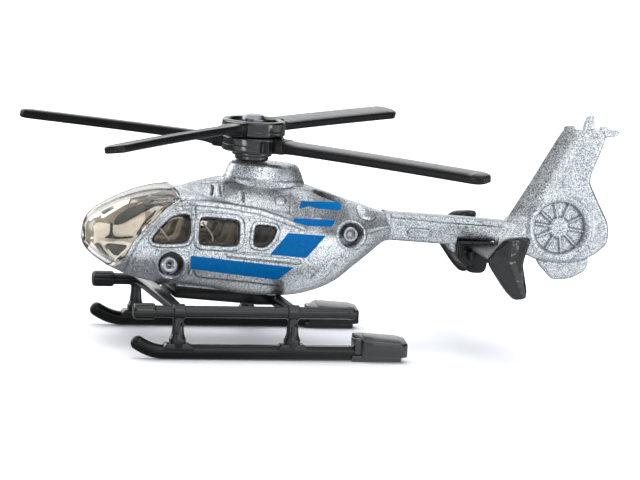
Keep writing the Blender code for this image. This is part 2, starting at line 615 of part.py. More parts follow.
    # ------------------------------------------------- mast and rotors
    tilt = (0.0, math.radians(MAST_TILT), 0.0)
    hub = pt(HUB_X, 0, HUB_Z)
    mast = bpy.data.objects.new("mast_axis", None)
    mast.location = hub
    mast.rotation_euler = tilt
    parts.objects.link(mast)

    def on_mast(name, bm, mat, turn=0.0):
        """Mesh in mast coordinates (mm from the hub point, z up the mast)."""
        bmesh.ops.recalc_face_normals(bm, faces=bm.faces)
        bmesh.ops.scale(bm, vec=Vector((MM, MM, MM)), verts=bm.verts)
        mesh = bpy.data.meshes.new(name)
        bm.to_mesh(mesh)
        bm.free()
        if mat is not None:
            mesh.materials.append(mat)
            mesh.shade_smooth()
            mesh.set_sharp_from_angle(angle=math.radians(35))
        obj = bpy.data.objects.new(name, mesh)
        obj.parent = mast
        obj.rotation_euler = (0.0, 0.0, math.radians(turn))
        (parts if mat is not None else tools).objects.link(obj)
        if mat is None:
            obj.hide_render = True
            obj.display_type = "WIRE"
        return obj

    def turned(profile, segments):
        """Closed solid from an (r, z) outline that starts and ends anywhere."""
        bm = bmesh.new()
        rows = []
        for k in range(segments):
            a = 2 * math.pi * k / segments
            rows.append([bm.verts.new(Vector((r * math.cos(a), r * math.sin(a), z)))
                         for r, z in profile])
        n = len(profile)
        for k in range(segments):
            a, b = rows[k], rows[(k + 1) % segments]
            for i in range(n):
                j = (i + 1) % n
                bm.faces.new((a[i], a[j], b[j], b[i]))
        bmesh.ops.remove_doubles(bm, verts=bm.verts, dist=1e-6)
        return bm

    pin_top = HUB_Z + 2.95
    rings = [(0.3, 22.9 + 0.6), (PIN_R, 23.6 + 0.1), (PIN_R, HUB_Z + 2.0), (PIN_HEAD_R, HUB_Z + 2.05),
             (PIN_HEAD_R, HUB_Z + 2.45), (1.7, HUB_Z + 2.8), (1.0, pin_top + 0.06),
             (0.3, pin_top + 0.1)]
    bm = bmesh.new()
    rows = [[bm.verts.new(Vector((r * math.cos(2 * math.pi * k / 20),
                                  r * math.sin(2 * math.pi * k / 20), z - HUB_Z)))
             for k in range(20)] for r, z in rings]
    for a, b in zip(rows, rows[1:]):
        for i in range(20):
            j = (i + 1) % 20
            bm.faces.new((a[i], a[j], b[j], b[i]))
    bm.faces.new(rows[0][::-1])
    bm.faces.new(rows[-1])
    on_mast("mast_pin", bm, paint("mast_pin", (0.72, 0.73, 0.75), 0.25, 1.0))

    bore = PIN_R + BORE_CLEAR
    on_mast("rotor_collar", turned([(bore, -3.72), (COLLAR_R - 0.25, -3.72), (COLLAR_R, -3.45),
                                    (COLLAR_R, -3.0), (COLLAR_R + 0.4, -2.9),
                                    (COLLAR_R + 0.4, -DISC_H - 0.12), (bore, -DISC_H - 0.12)], 24),
            plastic("rotor_collar"))

    def blade_bm(z_mid):
        rings = []
        for r, chord, thick, pitch in ((DISC_R - 1.2, 3.3, 1.9, 0.0), (5.6, 3.0, 1.8, 3.0),
                                       (8.5, BLADE_CHORD, BLADE_T, BLADE_PITCH),
                                       (24.0, BLADE_CHORD, BLADE_T, BLADE_PITCH),
                                       (38.9, BLADE_CHORD, BLADE_T, BLADE_PITCH),
                                       (40.0, 0.8 * BLADE_CHORD, BLADE_T * 0.9, BLADE_PITCH),
                                       (BLADE_R, 0.4 * BLADE_CHORD, BLADE_T * 0.5, BLADE_PITCH)):
            ring = []
            p = math.radians(pitch)
            for k in range(8):
                a = 2 * math.pi * (k + 0.5) / 8
                c, s = math.cos(a), math.sin(a)
                q = (abs(c) ** 4 + abs(s) ** 4) ** -0.25
                u, v = 0.5 * chord * q * c, 0.5 * thick * q * s
                ring.append((r, u * math.cos(p) - v * math.sin(p),
                             z_mid + u * math.sin(p) + v * math.cos(p)))
            rings.append(ring)
        bm = bmesh.new()
        rows = [[bm.verts.new(Vector(q)) for q in ring] for ring in rings]
        for a, b in zip(rows, rows[1:]):
            for i in range(8):
                j = (i + 1) % 8
                bm.faces.new((a[i], a[j], b[j], b[i]))
        bm.faces.new(rows[0][::-1])
        bm.faces.new(rows[-1])
        return bm

    def rotor(name, z0, z1, azimuth, pocket):
        profile = [(bore, z0), (DISC_R - 0.2, z0), (DISC_R, z0 + 0.2), (DISC_R, z1 - 0.2),
                   (DISC_R - 0.2, z1)]
        if pocket:
            profile += [(DISC_R - 0.9, z1), (DISC_R - 1.1, z1 - 0.45), (bore, z1 - 0.45)]
        else:
            profile += [(bore, z1)]
        obj = on_mast(name, turned(profile, 28), plastic(name), azimuth)
        for k in range(2):
            bm = blade_bm((z0 + z1) / 2)
            bmesh.ops.rotate(bm, verts=bm.verts, cent=Vector((0, 0, 0)),
                             matrix=Matrix.Rotation(math.pi * k, 3, "Z"))
            blade = on_mast("%s_blade_%d" % (name, k), bm, None, azimuth)
            boolean(obj, blade, "UNION")
        return obj

    rotor("rotor_lower", -DISC_H - DISC_GAP / 2, -DISC_GAP / 2, LOWER_AZ, False)
    rotor("rotor_upper", DISC_GAP / 2, DISC_H + DISC_GAP / 2, UPPER_AZ, True)


build()
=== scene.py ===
"""Looks of the pocket-size helicopter scale model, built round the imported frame.

All lengths in this file are millimetres with x counted from the rotor mast;
make() turns them into the frame (metres).  Relief on the casting is drawn on
the middle plane (y = 0) and carried onto the skin along the viewing lines.
"""
import math

import bmesh
import bpy
import numpy as np
from mathutils import Matrix, Vector


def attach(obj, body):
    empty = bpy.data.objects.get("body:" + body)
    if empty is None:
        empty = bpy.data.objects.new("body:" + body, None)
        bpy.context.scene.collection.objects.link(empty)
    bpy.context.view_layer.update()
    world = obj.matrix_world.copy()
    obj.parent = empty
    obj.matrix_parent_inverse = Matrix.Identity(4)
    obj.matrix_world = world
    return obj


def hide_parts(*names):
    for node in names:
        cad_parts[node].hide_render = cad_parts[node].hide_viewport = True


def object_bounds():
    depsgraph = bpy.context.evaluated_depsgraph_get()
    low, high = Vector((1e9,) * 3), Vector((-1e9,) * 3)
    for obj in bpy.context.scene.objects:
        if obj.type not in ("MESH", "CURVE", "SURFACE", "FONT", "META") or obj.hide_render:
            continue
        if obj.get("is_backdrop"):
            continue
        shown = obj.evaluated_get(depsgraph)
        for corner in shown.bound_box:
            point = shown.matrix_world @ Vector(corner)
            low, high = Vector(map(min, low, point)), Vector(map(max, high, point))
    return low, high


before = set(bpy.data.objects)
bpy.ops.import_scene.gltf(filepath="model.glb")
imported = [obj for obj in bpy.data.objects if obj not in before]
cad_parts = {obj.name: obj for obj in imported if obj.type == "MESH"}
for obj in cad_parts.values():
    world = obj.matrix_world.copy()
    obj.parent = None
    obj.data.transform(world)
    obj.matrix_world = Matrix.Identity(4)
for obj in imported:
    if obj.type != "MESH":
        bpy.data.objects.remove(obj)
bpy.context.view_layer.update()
np.seterr(all="ignore")

MX = -12.72
EYE = np.array([-212.09, -965.12, 152.95])

KEEL = [(-25.2, 15.6), (-24.9, 14.5), (-23.8, 13.1), (-22.4, 12.1), (-20.6, 11.1),
        (-17.5, 9.9), (-13.0, 9.05), (-7.0, 8.4), (-2.2, 7.65), (1.7, 7.4),
        (5.6, 7.55), (9.4, 8.35), (12.2, 9.55), (15.0, 11.7), (17.8, 13.85),
        (19.7, 15.3), (20.7, 15.75)]
CROWN = [(-25.2, 16.0), (-25.0, 17.5), (-24.4, 18.85), (-23.1, 20.05), (-21.2, 21.1),
         (-18.7, 22.15), (-16.2, 22.95), (-13.6, 23.4), (-11.9, 23.5), (-10.4, 23.75),
         (-8.4, 24.2), (-5.9, 24.4), (-3.0, 24.45), (1.0, 24.35), (7.0, 24.0),
         (9.0, 23.55), (13.7, 22.15), (16.6, 21.25), (18.6, 20.5), (20.7, 19.8)]
WAIST = [(-25.2, 15.8), (-22.0, 15.2), (-17.0, 14.7), (-10.0, 14.5), (4.0, 14.5),
         (8.0, 14.9), (12.0, 15.7), (16.0, 16.8), (20.7, 17.8)]
HALF_WIDTH = [(-25.2, 0.4), (-24.9, 2.1), (-24.0, 4.1), (-22.0, 6.0), (-20.0, 7.2),
              (-17.0, 8.5), (-13.0, 9.6), (-9.0, 10.1), (-4.0, 10.3), (4.0, 10.2),
              (8.0, 9.6), (12.0, 8.3), (16.0, 6.3), (19.0, 4.0), (20.7, 2.7)]
SHOULDER_Y = [(-25.2, 0.3), (-12.0, 6.8), (-5.5, 7.1), (-2.5, 7.6), (0.0, 8.1), (2.4, 8.6),
              (4.8, 9.0), (8.0, 9.0), (12.0, 7.9), (16.0, 6.0), (20.7, 2.6)]
SHOULDER_Z = [(-25.2, 16.0), (-12.0, 22.0), (-9.0, 22.05), (-5.5, 21.85), (-2.5, 21.4),
              (0.0, 21.0), (2.4, 20.3), (4.8, 19.5), (8.0, 18.3), (12.0, 17.6),
              (16.0, 17.5), (20.7, 18.0)]
DECK_FLAT = [(-12.0, 0.6), (-8.5, 1.6), (-6.5, 3.0), (-4.5, 4.1), (0.0, 5.0), (6.0, 5.0),
             (10.0, 4.2), (14.0, 2.6), (20.7, 1.2)]
SCREEN_LINE = [(-22.4, 8.0), (-21.1, 11.3), (-20.3, 12.9), (-19.6, 14.6), (-18.8, 16.25),
               (-17.55, 17.7), (-16.1, 19.2), (-14.4, 20.85), (-11.9, 22.5), (-11.7, 27.0)]
NOSE_X, BODY_END_X = -25.2, 20.7

HUB = np.array([-0.1, 0.0, 31.05])
TILT = math.radians(1.5)
LOWER_AZ, UPPER_AZ = -43.1, 46.9
TRACK = 15.9
RAIL_Z = 7.0
STRUT_X = (-13.5, 3.55)
FAN = (47.05, 17.96)


# ---------------------------------------------------------------- mesh helpers
def hermite(table, x):
    n = len(table)
    if x <= table[0][0]:
        return table[0][1]
    if x >= table[-1][0]:
        return table[-1][1]
    i = max(k for k in range(n - 1) if table[k][0] <= x)

    def slope(k):
        return (table[k + 1][1] - table[k][1]) / (table[k + 1][0] - table[k][0])

    def tangent(k):
        if k == 0:
            return slope(0)
        if k == n - 1:
            return slope(n - 2)
        a, b = slope(k - 1), slope(k)
        if a * b <= 0.0:
            return 0.0
        ha, hb = table[k][0] - table[k - 1][0], table[k + 1][0] - table[k][0]
        return (ha + hb) * 3.0 / ((2 * hb + ha) / a + (hb + 2 * ha) / b)

    x0, y0 = table[i]
    x1, y1 = table[i + 1]
    h = x1 - x0
    t = (x - x0) / h
    return ((2 * t ** 3 - 3 * t ** 2 + 1) * y0 + (t ** 3 - 2 * t ** 2 + t) * h * tangent(i)
            + (-2 * t ** 3 + 3 * t ** 2) * y1 + (t ** 3 - t ** 2) * h * tangent(i + 1))


XD = np.linspace(NOSE_X, BODY_END_X, 1837)
DENSE = {}
for key, tab in (("keel", KEEL), ("crown", CROWN), ("waist", WAIST), ("width", HALF_WIDTH),
                 ("sy", SHOULDER_Y), ("sz", SHOULDER_Z), ("flat", DECK_FLAT)):
    DENSE[key] = np.array([hermite(tab, float(v)) for v in XD])
rise_ = np.clip((XD + 12.3) / 3.2, 0, 1) * np.clip((-1.0 - XD) / 4.0, 0, 1)
DENSE["crown"] = DENSE["crown"] + 0.40 * rise_ * rise_ * (3 - 2 * rise_)


def at(key, x):
    return np.interp(x, XD, DENSE[key])


def body_r(x, ang, inset=0.0):
    """Distance from the waist line to the skin, for arrays of x and angle."""
    c = np.maximum(np.cos(ang), 1e-6)
    s = np.sin(ang)
    zc = at("waist", x)
    w = np.maximum(at("width", x) - inset, 0.15)
    h = np.maximum(zc - at("keel", x) - inset, 0.15)
    low = ((c / w) ** 2.4 + (np.maximum(-s, 0) / h) ** 2.4) ** (-1 / 2.4)
    top = np.maximum(at("crown", x) - zc - inset, 0.15)
    n = 2.0 + 0.9 * np.clip((x + 25.2) / 13.0, 0, 1)
    sp = np.maximum(s, 0)
    plain = ((c / w) ** n + (sp / top) ** n) ** (-1 / n)
    ys = np.minimum(at("sy", x) - inset, 0.97 * w)
    zs = at("sz", x) - zc - 0.6 * inset
    h2 = np.minimum(zs / (1 - (ys / w) ** n) ** (1 / n), top)
    main = ((c / w) ** n + (sp / h2) ** n) ** (-1 / n)
    a = np.maximum(at("flat", x) - 0.4 * inset, 0.2)
    nx, nz = top - zs, ys - a
    size = np.hypot(nx, nz)
    nx, nz = nx / size, nz / size
    dist = nx * a + nz * top
    p = 9.0 - 4.0 * np.clip((x - 8.0) / 6.0, 0, 1)
    side = np.maximum(nx * c + nz * s, 1e-6) / dist
    deck = ((sp / top) ** p + side ** p + (c / w) ** p) ** (-1 / p)
    blend = np.clip((x + 12.0) / 1.5, 0, 1)
    behind = main + np.maximum(deck - main, 0) * blend
    return np.where(s < 0, low, np.where(x <= -12.0, plain, behind))


def surf(x, t, inset=0.0):
    """Skin points of the starboard half for arrays of x and ring position t."""
    zc, w = at("waist", x), at("width", x)
    k = np.where(t < 0, zc - at("keel", x), at("crown", x) - zc)
    ang = np.arctan2(k * np.sin(t), w * np.cos(t))
    r = body_r(x, ang, inset)
    y = r * np.cos(ang)
    y = np.where(np.abs(np.cos(t)) < 1e-6, 0.0, y)
    return np.stack([x, y, zc + r * np.sin(ang)], -1)


def grid_normals(p, flip=False):
    du = np.gradient(p, axis=0)
    dv = np.gradient(p, axis=1)
    n = np.cross(dv, du)
    n /= np.maximum(np.linalg.norm(n, axis=-1, keepdims=True), 1e-12)
    return -n if flip else n


def quads(rows, cols, keep=None, close=False, base=0):
    """Faces of a rows x cols vertex grid as an array of index quads."""
    i, j = np.meshgrid(np.arange(rows - 1), np.arange(cols if close else cols - 1), indexing="ij")
    jn = (j + 1) % cols
    f = np.stack([i * cols + j, i * cols + jn, (i + 1) * cols + jn, (i + 1) * cols + j], -1)
    if keep is not None:
        f = f[keep]
    return f.reshape(-1, 4) + base


def sdf(px, pz, outline):
    """Signed distance to a closed outline, negative inside."""
    poly = np.asarray(outline, float)
    best = np.full(px.shape, 1e9)
    inside = np.zeros(px.shape, bool)
    for a, b in zip(poly, np.roll(poly, -1, axis=0)):
        e = b - a
        w0, w1 = px - a[0], pz - a[1]
        t = np.clip((w0 * e[0] + w1 * e[1]) / max(e @ e, 1e-12), 0, 1)
        best = np.minimum(best, (w0 - t * e[0]) ** 2 + (w1 - t * e[1]) ** 2)
        if a[1] != b[1]:
            cross = ((a[1] > pz) != (b[1] > pz)) & (px < a[0] + w1 / (b[1] - a[1]) * e[0])
            inside ^= cross
    return np.where(inside, -1.0, 1.0) * np.sqrt(best)


def line_d(px, pz, line):
    """Distance to an open line, and the same with the sign of the side (left is +)."""
    pts = np.asarray(line, float)
    best = np.full(px.shape, 1e9)
    side = np.ones(px.shape)
    for a, b in zip(pts, pts[1:]):
        e = b - a
        w0, w1 = px - a[0], pz - a[1]
        t = np.clip((w0 * e[0] + w1 * e[1]) / max(e @ e, 1e-12), 0, 1)
        d = (w0 - t * e[0]) ** 2 + (w1 - t * e[1]) ** 2
        near = d < best
        best = np.where(near, d, best)
        side = np.where(near, np.sign(e[0] * w1 - e[1] * w0), side)
    d = np.sqrt(best)
    return d, d * side


def soften(outline, times=3, closed=True):
    """Corner cutting of an outline or line."""
    p = np.asarray(outline, float)
    for _ in range(times):
        if closed:
            q = np.roll(p, -1, axis=0)
            p = np.stack([0.82 * p + 0.18 * q, 0.18 * p + 0.82 * q], 1).reshape(-1, 2)
        else:
            a, b = p[:-1], p[1:]
            m = np.stack([0.75 * a + 0.25 * b, 0.25 * a + 0.75 * b], 1).reshape(-1, 2)
            p = np.vstack([p[:1], m, p[-1:]])
    return p


def to_plane(x, y, z):
    """Where the viewing line through a point crosses the middle plane."""
    k = (0.0 - EYE[1]) / (y - EYE[1])
    return EYE[0] + (x - EYE[0]) * k, EYE[2] + (z - EYE[2]) * k


def flat(outline, y):
    p = np.asarray(outline, float)
    u, v = to_plane(p[:, 0], np.full(len(p), float(y)), p[:, 1])
    return np.stack([u, v], -1)


def step(d, width):
    """1 where d is well below 0, 0 above, soft over width."""
    t = np.clip(0.5 - d / width, 0, 1)
    return t * t * (3 - 2 * t)


def bell(d, half):
    t = np.clip(1 - np.abs(d) / half, 0, 1)
    return t * t * (3 - 2 * t)


def join(*parts):
    verts, faces, base = [], [], 0
    for v, f in parts:
        v = np.asarray(v, float).reshape(-1, 3)
        verts.append(v)
        faces.extend([tuple(int(k) + base for k in face) for face in f])
        base += len(v)
    return np.vstack(verts), faces


def move(part, matrix=None, offset=(0, 0, 0)):
    v = np.asarray(part[0], float)
    if matrix is not None:
        v = v @ np.asarray(matrix, float).T
    return v + np.asarray(offset, float), part[1]


def mirror(part):
    v = np.asarray(part[0], float).copy()
    v[:, 1] *= -1
    return v, [tuple(reversed(f)) for f in part[1]]


def tube(points, radii, seg=28, power=2.0, squash=1.0, closed_ends=True):
    """Bar along points with a rounded section; squash scales it sideways."""
    p = np.asarray(points, float)
    r = np.broadcast_to(np.asarray(radii, float), (len(p),))
    d = np.gradient(p, axis=0)
    d /= np.linalg.norm(d, axis=1, keepdims=True)
    side = np.array([0.0, 1.0, 0.0]) if abs(d[len(d) // 2][1]) < 0.8 else np.array([1.0, 0, 0])
    up = np.cross(d, side)
    up /= np.linalg.norm(up, axis=1, keepdims=True)
    sd = np.cross(up, d)
    a = np.linspace(0, 2 * math.pi, seg, endpoint=False)
    c, s = np.cos(a), np.sin(a)
    q = (np.abs(c) ** power + np.abs(s) ** power) ** (-1 / power)
    v = (p[:, None] + r[:, None, None] * (q * c)[None, :, None] * up[:, None]
         + squash * r[:, None, None] * (q * s)[None, :, None] * sd[:, None])
    faces = [tuple(f) for f in quads(len(p), seg, close=True)]
    if closed_ends:
        faces.append(tuple(range(seg)))
        faces.append(tuple(range((len(p) - 1) * seg, len(p) * seg))[::-1])
    return v.reshape(-1, 3), faces


def lathe(profile, seg=48, centre=(0, 0, 0), axis=(0, 0, 1), bored=False):
    """Solid of revolution from an (r, h) outline, capped where it ends unless it is bored."""
    prof = np.asarray(profile, float)
    a = np.linspace(0, 2 * math.pi, seg, endpoint=False)
    v = np.stack([prof[:, 0, None] * np.cos(a), prof[:, 0, None] * np.sin(a),
                  np.broadcast_to(prof[:, 1, None], (len(prof), seg))], -1)
    faces = [tuple(f) for f in quads(len(prof), seg, close=True)]
    last = (len(prof) - 1) * seg
    if bored:
        for j in range(seg):
            k = (j + 1) % seg
            faces.append((last + j, last + k, k, j))
    else:
        faces.append(tuple(range(seg)))
        faces.append(tuple(range(last, len(prof) * seg))[::-1])
    turn = Vector((0, 0, 1)).rotation_difference(Vector(axis).normalized()).to_matrix()
    return v.reshape(-1, 3) @ np.array(turn).T + np.asarray(centre, float), faces


def rounded(profile, r=0.15, n=4):
    """Rounds the corners of an open (r, h) profile."""
    p = np.asarray(profile, float)
    out = [p[0]]
    for a, b, c in zip(p, p[1:], p[2:]):
        la, lc = np.linalg.norm(a - b), np.linalg.norm(c - b)
        k = min(r, 0.45 * la, 0.45 * lc)
        s, e = b + (a - b) / la * k, b + (c - b) / lc * k
        for i in range(n + 1):
            t = i / n
            out.append((1 - t) ** 2 * s + 2 * t * (1 - t) * b + t * t * e)
    out.append(p[-1])
    return np.array(out)


def from_bm(bm):
    bm.verts.index_update()
    v = np.array([q.co[:] for q in bm.verts])
    f = [tuple(q.index for q in face.verts) for face in bm.faces]
    bm.free()
    return v, f


def rbox(x0, x1, y0, y1, z0, z1, r=0.2, seg=3):
    bm = bmesh.new()
    bmesh.ops.create_cube(bm, size=1.0)
    for v in bm.verts:
        v.co = Vector(((x0 + x1) / 2 + v.co.x * (x1 - x0), (y0 + y1) / 2 + v.co.y * (y1 - y0),
                       (z0 + z1) / 2 + v.co.z * (z1 - z0)))
    bmesh.ops.bevel(bm, geom=list(bm.edges), offset=r, segments=seg, profile=0.5,
                    affect="EDGES")
    return from_bm(bm)


def rprism(outline, y0, y1, r=0.2, seg=3, plane="xz"):
    """Outline extruded and rounded on every edge."""
    bm = bmesh.new()
    if plane == "xz":
        ring = [bm.verts.new((u, y0, v)) for u, v in outline]
        push = Vector((0, y1 - y0, 0))
    else:
        ring = [bm.verts.new((u, v, y0)) for u, v in outline]
        push = Vector((0, 0, y1 - y0))
    face = bm.faces.new(ring)
    made = bmesh.ops.extrude_face_region(bm, geom=[face])
    bmesh.ops.translate(bm, verts=[g for g in made["geom"] if isinstance(g, bmesh.types.BMVert)],
                        vec=push)
    bmesh.ops.bevel(bm, geom=list(bm.edges), offset=r, segments=seg, profile=0.5,
                    affect="EDGES", clamp_overlap=True)
    return from_bm(bm)


def plate(layers, res=0.12, relief=None, y=0.0, plane="xz", heights=None):
    """Flat-sided casting from stacked outlines: (outline, half thickness, edge radius).
    relief(u, v, h) reshapes the half thickness; heights(u, v, h) gives (top, bottom)."""
    lows = np.min([np.min(o, axis=0) for o, _, _ in layers], axis=0) - 2 * res
    highs = np.max([np.max(o, axis=0) for o, _, _ in layers], axis=0) + 2 * res
    u = np.arange(lows[0], highs[0], res)
    v = np.arange(lows[1], highs[1], res)
    U, V = np.meshgrid(u, v, indexing="ij")
    total = np.full(U.shape, -1e9)
    for o, _, _ in layers:
        total = np.maximum(total, -sdf(U, V, o))
    gu, gv = np.gradient(total, res)
    gl = np.maximum(np.hypot(gu, gv), 1e-6)
    inside = total > 0
    f = quads(len(u), len(v))
    keep = inside.ravel()[f].any(1)
    f = f[keep]
    out = (total <= 0)
    U = np.where(out, U - total * gu / gl, U)
    V = np.where(out, V - total * gv / gl, V)
    H = np.zeros(U.shape)
    for o, half, r in layers:
        s = -sdf(U, V, o)
        r = min(r, 0.97 * half)
        k = 1 - np.clip(s / r, 0, 1)
        prof = half - r + r * np.sqrt(np.maximum(1 - k * k, 0))
        H = np.maximum(H, np.where(s > -0.02, prof, 0))
    if relief is not None:
        H = relief(U, V, H)
    used, inv = np.unique(f, return_inverse=True)
    f = inv.reshape(f.shape)
    U, V, H = U.ravel()[used], V.ravel()[used], H.ravel()[used]
    top, bottom = (y + H, y - H) if heights is None else heights(U, V, H)
    if plane == "xz":
        a, b = np.stack([U, top, V], -1), np.stack([U, bottom, V], -1)
    else:
        a, b = np.stack([U, V, top], -1), np.stack([U, V, bottom], -1)
    n = len(U)
    e = np.concatenate([f[:, [0, 1]], f[:, [1, 2]], f[:, [2, 3]], f[:, [3, 0]]])
    key = np.sort(e, axis=1)
    _, first, count = np.unique(key, axis=0, return_index=True, return_counts=True)
    rim = e[first[count == 1]]
    walls = np.stack([rim[:, 1], rim[:, 0], rim[:, 0] + n, rim[:, 1] + n], -1)
    faces = np.concatenate([f, f[:, ::-1] + n, walls])
    return np.vstack([a, b]), [tuple(q) for q in faces]


def make(name, part, mat, body="airframe", replaces=(), sharp=32.0, attrs=None,
         recalc=True, smooth_mesh=0):
    v = np.asarray(part[0], float).copy()
    v[:, 0] += MX
    v *= 0.001
    me = bpy.data.meshes.new(name)
    me.from_pydata(v.tolist(), [], [tuple(int(k) for k in f) for f in part[1]])
    if recalc:
        bm = bmesh.new()
        bm.from_mesh(me)
        bmesh.ops.recalc_face_normals(bm, faces=bm.faces)
        bm.to_mesh(me)
        bm.free()
    for key, values in (attrs or {}).items():
        me.attributes.new(key, "FLOAT", "POINT").data.foreach_set(
            "value", np.asarray(values, np.float32))
    me.materials.append(mat)
    me.shade_smooth()
    me.set_sharp_from_angle(angle=math.radians(sharp))
    obj = bpy.data.objects.new(name, me)
    bpy.context.scene.collection.objects.link(obj)
    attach(obj, body)
    if replaces:
        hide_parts(*replaces)
    return obj


# ------------------------------------------------------------------ materials
class Nodes:
    def __init__(self, name):
        self.mat = bpy.data.materials.new(name)
        self.mat.use_nodes = True
        self.tree = self.mat.node_tree
        self.out = self.tree.nodes["Material Output"]
        self.bsdf = self.tree.nodes["Principled BSDF"]
        self.coord = self.tree.nodes.new("ShaderNodeTexCoord").outputs["Object"]

    def node(self, kind, inputs=None, **props):
        n = self.tree.nodes.new(kind)
        for key, value in props.items():
            setattr(n, key, value)
        for key, value in (inputs or {}).items():
            self.plug(value, n.inputs[key])
        return n

    def plug(self, value, socket):
        if isinstance(value, bpy.types.NodeSocket):
            self.tree.links.new(value, socket)
        else:
            socket.default_value = value

    def noise(self, scale, detail=2.0, rough=0.5, vector=None, distortion=0.0):
        n = self.node("ShaderNodeTexNoise", {"Scale": scale, "Detail": detail, "Roughness": rough,
                                             "Distortion": distortion})
        self.plug(vector or self.coord, n.inputs["Vector"])
        return n.outputs["Fac"]

    def cells(self, scale, randomness=1.0):
        n = self.node("ShaderNodeTexVoronoi", {"Scale": scale, "Randomness": randomness})
        self.plug(self.coord, n.inputs["Vector"])
        return n.outputs["Color"], n.outputs["Distance"]

    def math(self, op, a, b=0.0, c=0.0, clamp=False):
        n = self.node("ShaderNodeMath", operation=op, use_clamp=clamp)
        for k, value in enumerate((a, b, c)):
            self.plug(value, n.inputs[k])
        return n.outputs[0]

    def ramp(self, fac, stops, mode="LINEAR"):
        n = self.node("ShaderNodeValToRGB", {"Fac": fac})
        n.color_ramp.interpolation = mode
        els = n.color_ramp.elements
        while len(els) < len(stops):
            els.new(0.5)
        for el, (pos, col) in zip(els, stops):
            el.position = pos
            el.color = (*col, 1.0) if len(col) == 3 else col
        return n.outputs["Color"]

    def fit(self, value, lo, hi, a=0.0, b=1.0):
        n = self.node("ShaderNodeMapRange", {"Value": value, "From Min": a, "From Max": b,
                                             "To Min": lo, "To Max": hi})
        return n.outputs["Result"]

    def mix(self, fac, a, b, blend="MIX"):
        n = self.node("ShaderNodeMix", data_type="RGBA", blend_type=blend)
        self.plug(fac, n.inputs["Factor"])
        self.plug(a, n.inputs["A"])
        self.plug(b, n.inputs["B"])
        return n.outputs["Result"]

    def bump(self, height, strength, distance, normal=None):
        n = self.node("ShaderNodeBump", {"Height": height, "Strength": strength,
                                         "Distance": distance})
        if normal is not None:
            self.plug(normal, n.inputs["Normal"])
        return n.outputs["Normal"]

    def attribute(self, name):
        return self.node("ShaderNodeAttribute", attribute_name=name).outputs["Fac"]


def rgb(*c):
    return (*c, 1.0)


def silver_paint(name, printed=False):
    m = Nodes(name)
    b = m.bsdf
    flake, _ = m.cells(9800.0)
    sep = m.node("ShaderNodeSeparateColor", {"Color": flake})
    big, _ = m.cells(7400.0)
    sep2 = m.node("ShaderNodeSeparateColor", {"Color": big})
    grain = m.math("ADD", m.math("MULTIPLY", sep.outputs["Red"], 0.66),
                   m.math("MULTIPLY", sep2.outputs["Green"], 0.34))
    cloud = m.noise(420.0, 3.0, 0.6)
    tone = m.math("ADD", grain, m.fit(cloud, -0.10, 0.10))
    colour = m.ramp(tone, [(0.14, (0.125, 0.15, 0.18)), (0.38, (0.45, 0.49, 0.535)),
                           (0.56, (0.69, 0.725, 0.765)), (0.80, (0.98, 1.0, 1.0))])
    # the groove attribute darkens the paint towards near black: dark joint lines, and painted
    # shade in creases, recesses and under edges
    joint_lines_and_shade = m.attribute("groove")
    colour = m.mix(m.math("MULTIPLY", joint_lines_and_shade, 0.88), colour, rgb(0.03, 0.034, 0.04))
    rough = m.fit(m.math("ADD", sep.outputs["Blue"], m.fit(cloud, -0.3, 0.3)), 0.27, 0.44)
    if printed:
        d = m.attribute("print_d")
        ragged = m.math("ADD", d, m.fit(m.noise(2600.0, 2.0), -0.05, 0.05))
        ink = m.math("SUBTRACT", 1.0, m.math("SMOOTH_MIN", m.fit(ragged, 0.0, 1.0, -0.035, 0.035),
                                             1.0, 0.01), clamp=True)
        pin = m.fit(m.noise(5200.0, 2.0, 0.7), 0.0, 1.0, 0.70, 0.74)
        ink = m.math("MULTIPLY", ink, m.math("SUBTRACT", 1.0, m.math("MULTIPLY", pin, 0.35)))
        blue = m.ramp(m.math("ADD", m.math("MULTIPLY", grain, 0.5),
                             m.math("MULTIPLY", m.noise(1500.0, 3.0), 0.5)),
                      [(0.1, (0.0001, 0.112, 0.345)), (0.9, (0.0003, 0.150, 0.445))])
        colour = m.mix(ink, colour, blue)
        metal = m.math("MULTIPLY", m.math("SUBTRACT", 1.0, ink), 0.90)
        rough = m.math("ADD", m.math("MULTIPLY", rough, m.math("SUBTRACT", 1.0, ink)),
                       m.math("MULTIPLY", ink, 0.36))
        m.plug(metal, b.inputs["Metallic"])
    else:
        b.inputs["Metallic"].default_value = 0.90
    m.plug(colour, b.inputs["Base Color"])
    m.plug(rough, b.inputs["Roughness"])
    # flakes lie at slightly different angles, and the paint film ripples a little
    geo = m.node("ShaderNodeNewGeometry").outputs["Normal"]
    lean = m.node("ShaderNodeVectorMath", {0: flake, 1: (0.5, 0.5, 0.5)}, operation="SUBTRACT")
    lean = m.node("ShaderNodeVectorMath", {0: lean.outputs[0], "Scale": 0.22}, operation="SCALE")
    tilted = m.node("ShaderNodeVectorMath", {0: geo, 1: lean.outputs[0]}, operation="ADD")
    tilted = m.node("ShaderNodeVectorMath", {0: tilted.outputs[0]}, operation="NORMALIZE")
    peel = m.bump(m.noise(1300.0, 2.0), 0.25, 0.00006, tilted.outputs[0])
    m.plug(peel, b.inputs["Normal"])
    b.inputs["Specular IOR Level"].default_value = 0.05
    b.inputs["Coat Weight"].default_value = 0.05
    b.inputs["Coat Roughness"].default_value = 0.16
    b.inputs["Coat IOR"].default_value = 1.5
    return m.mat


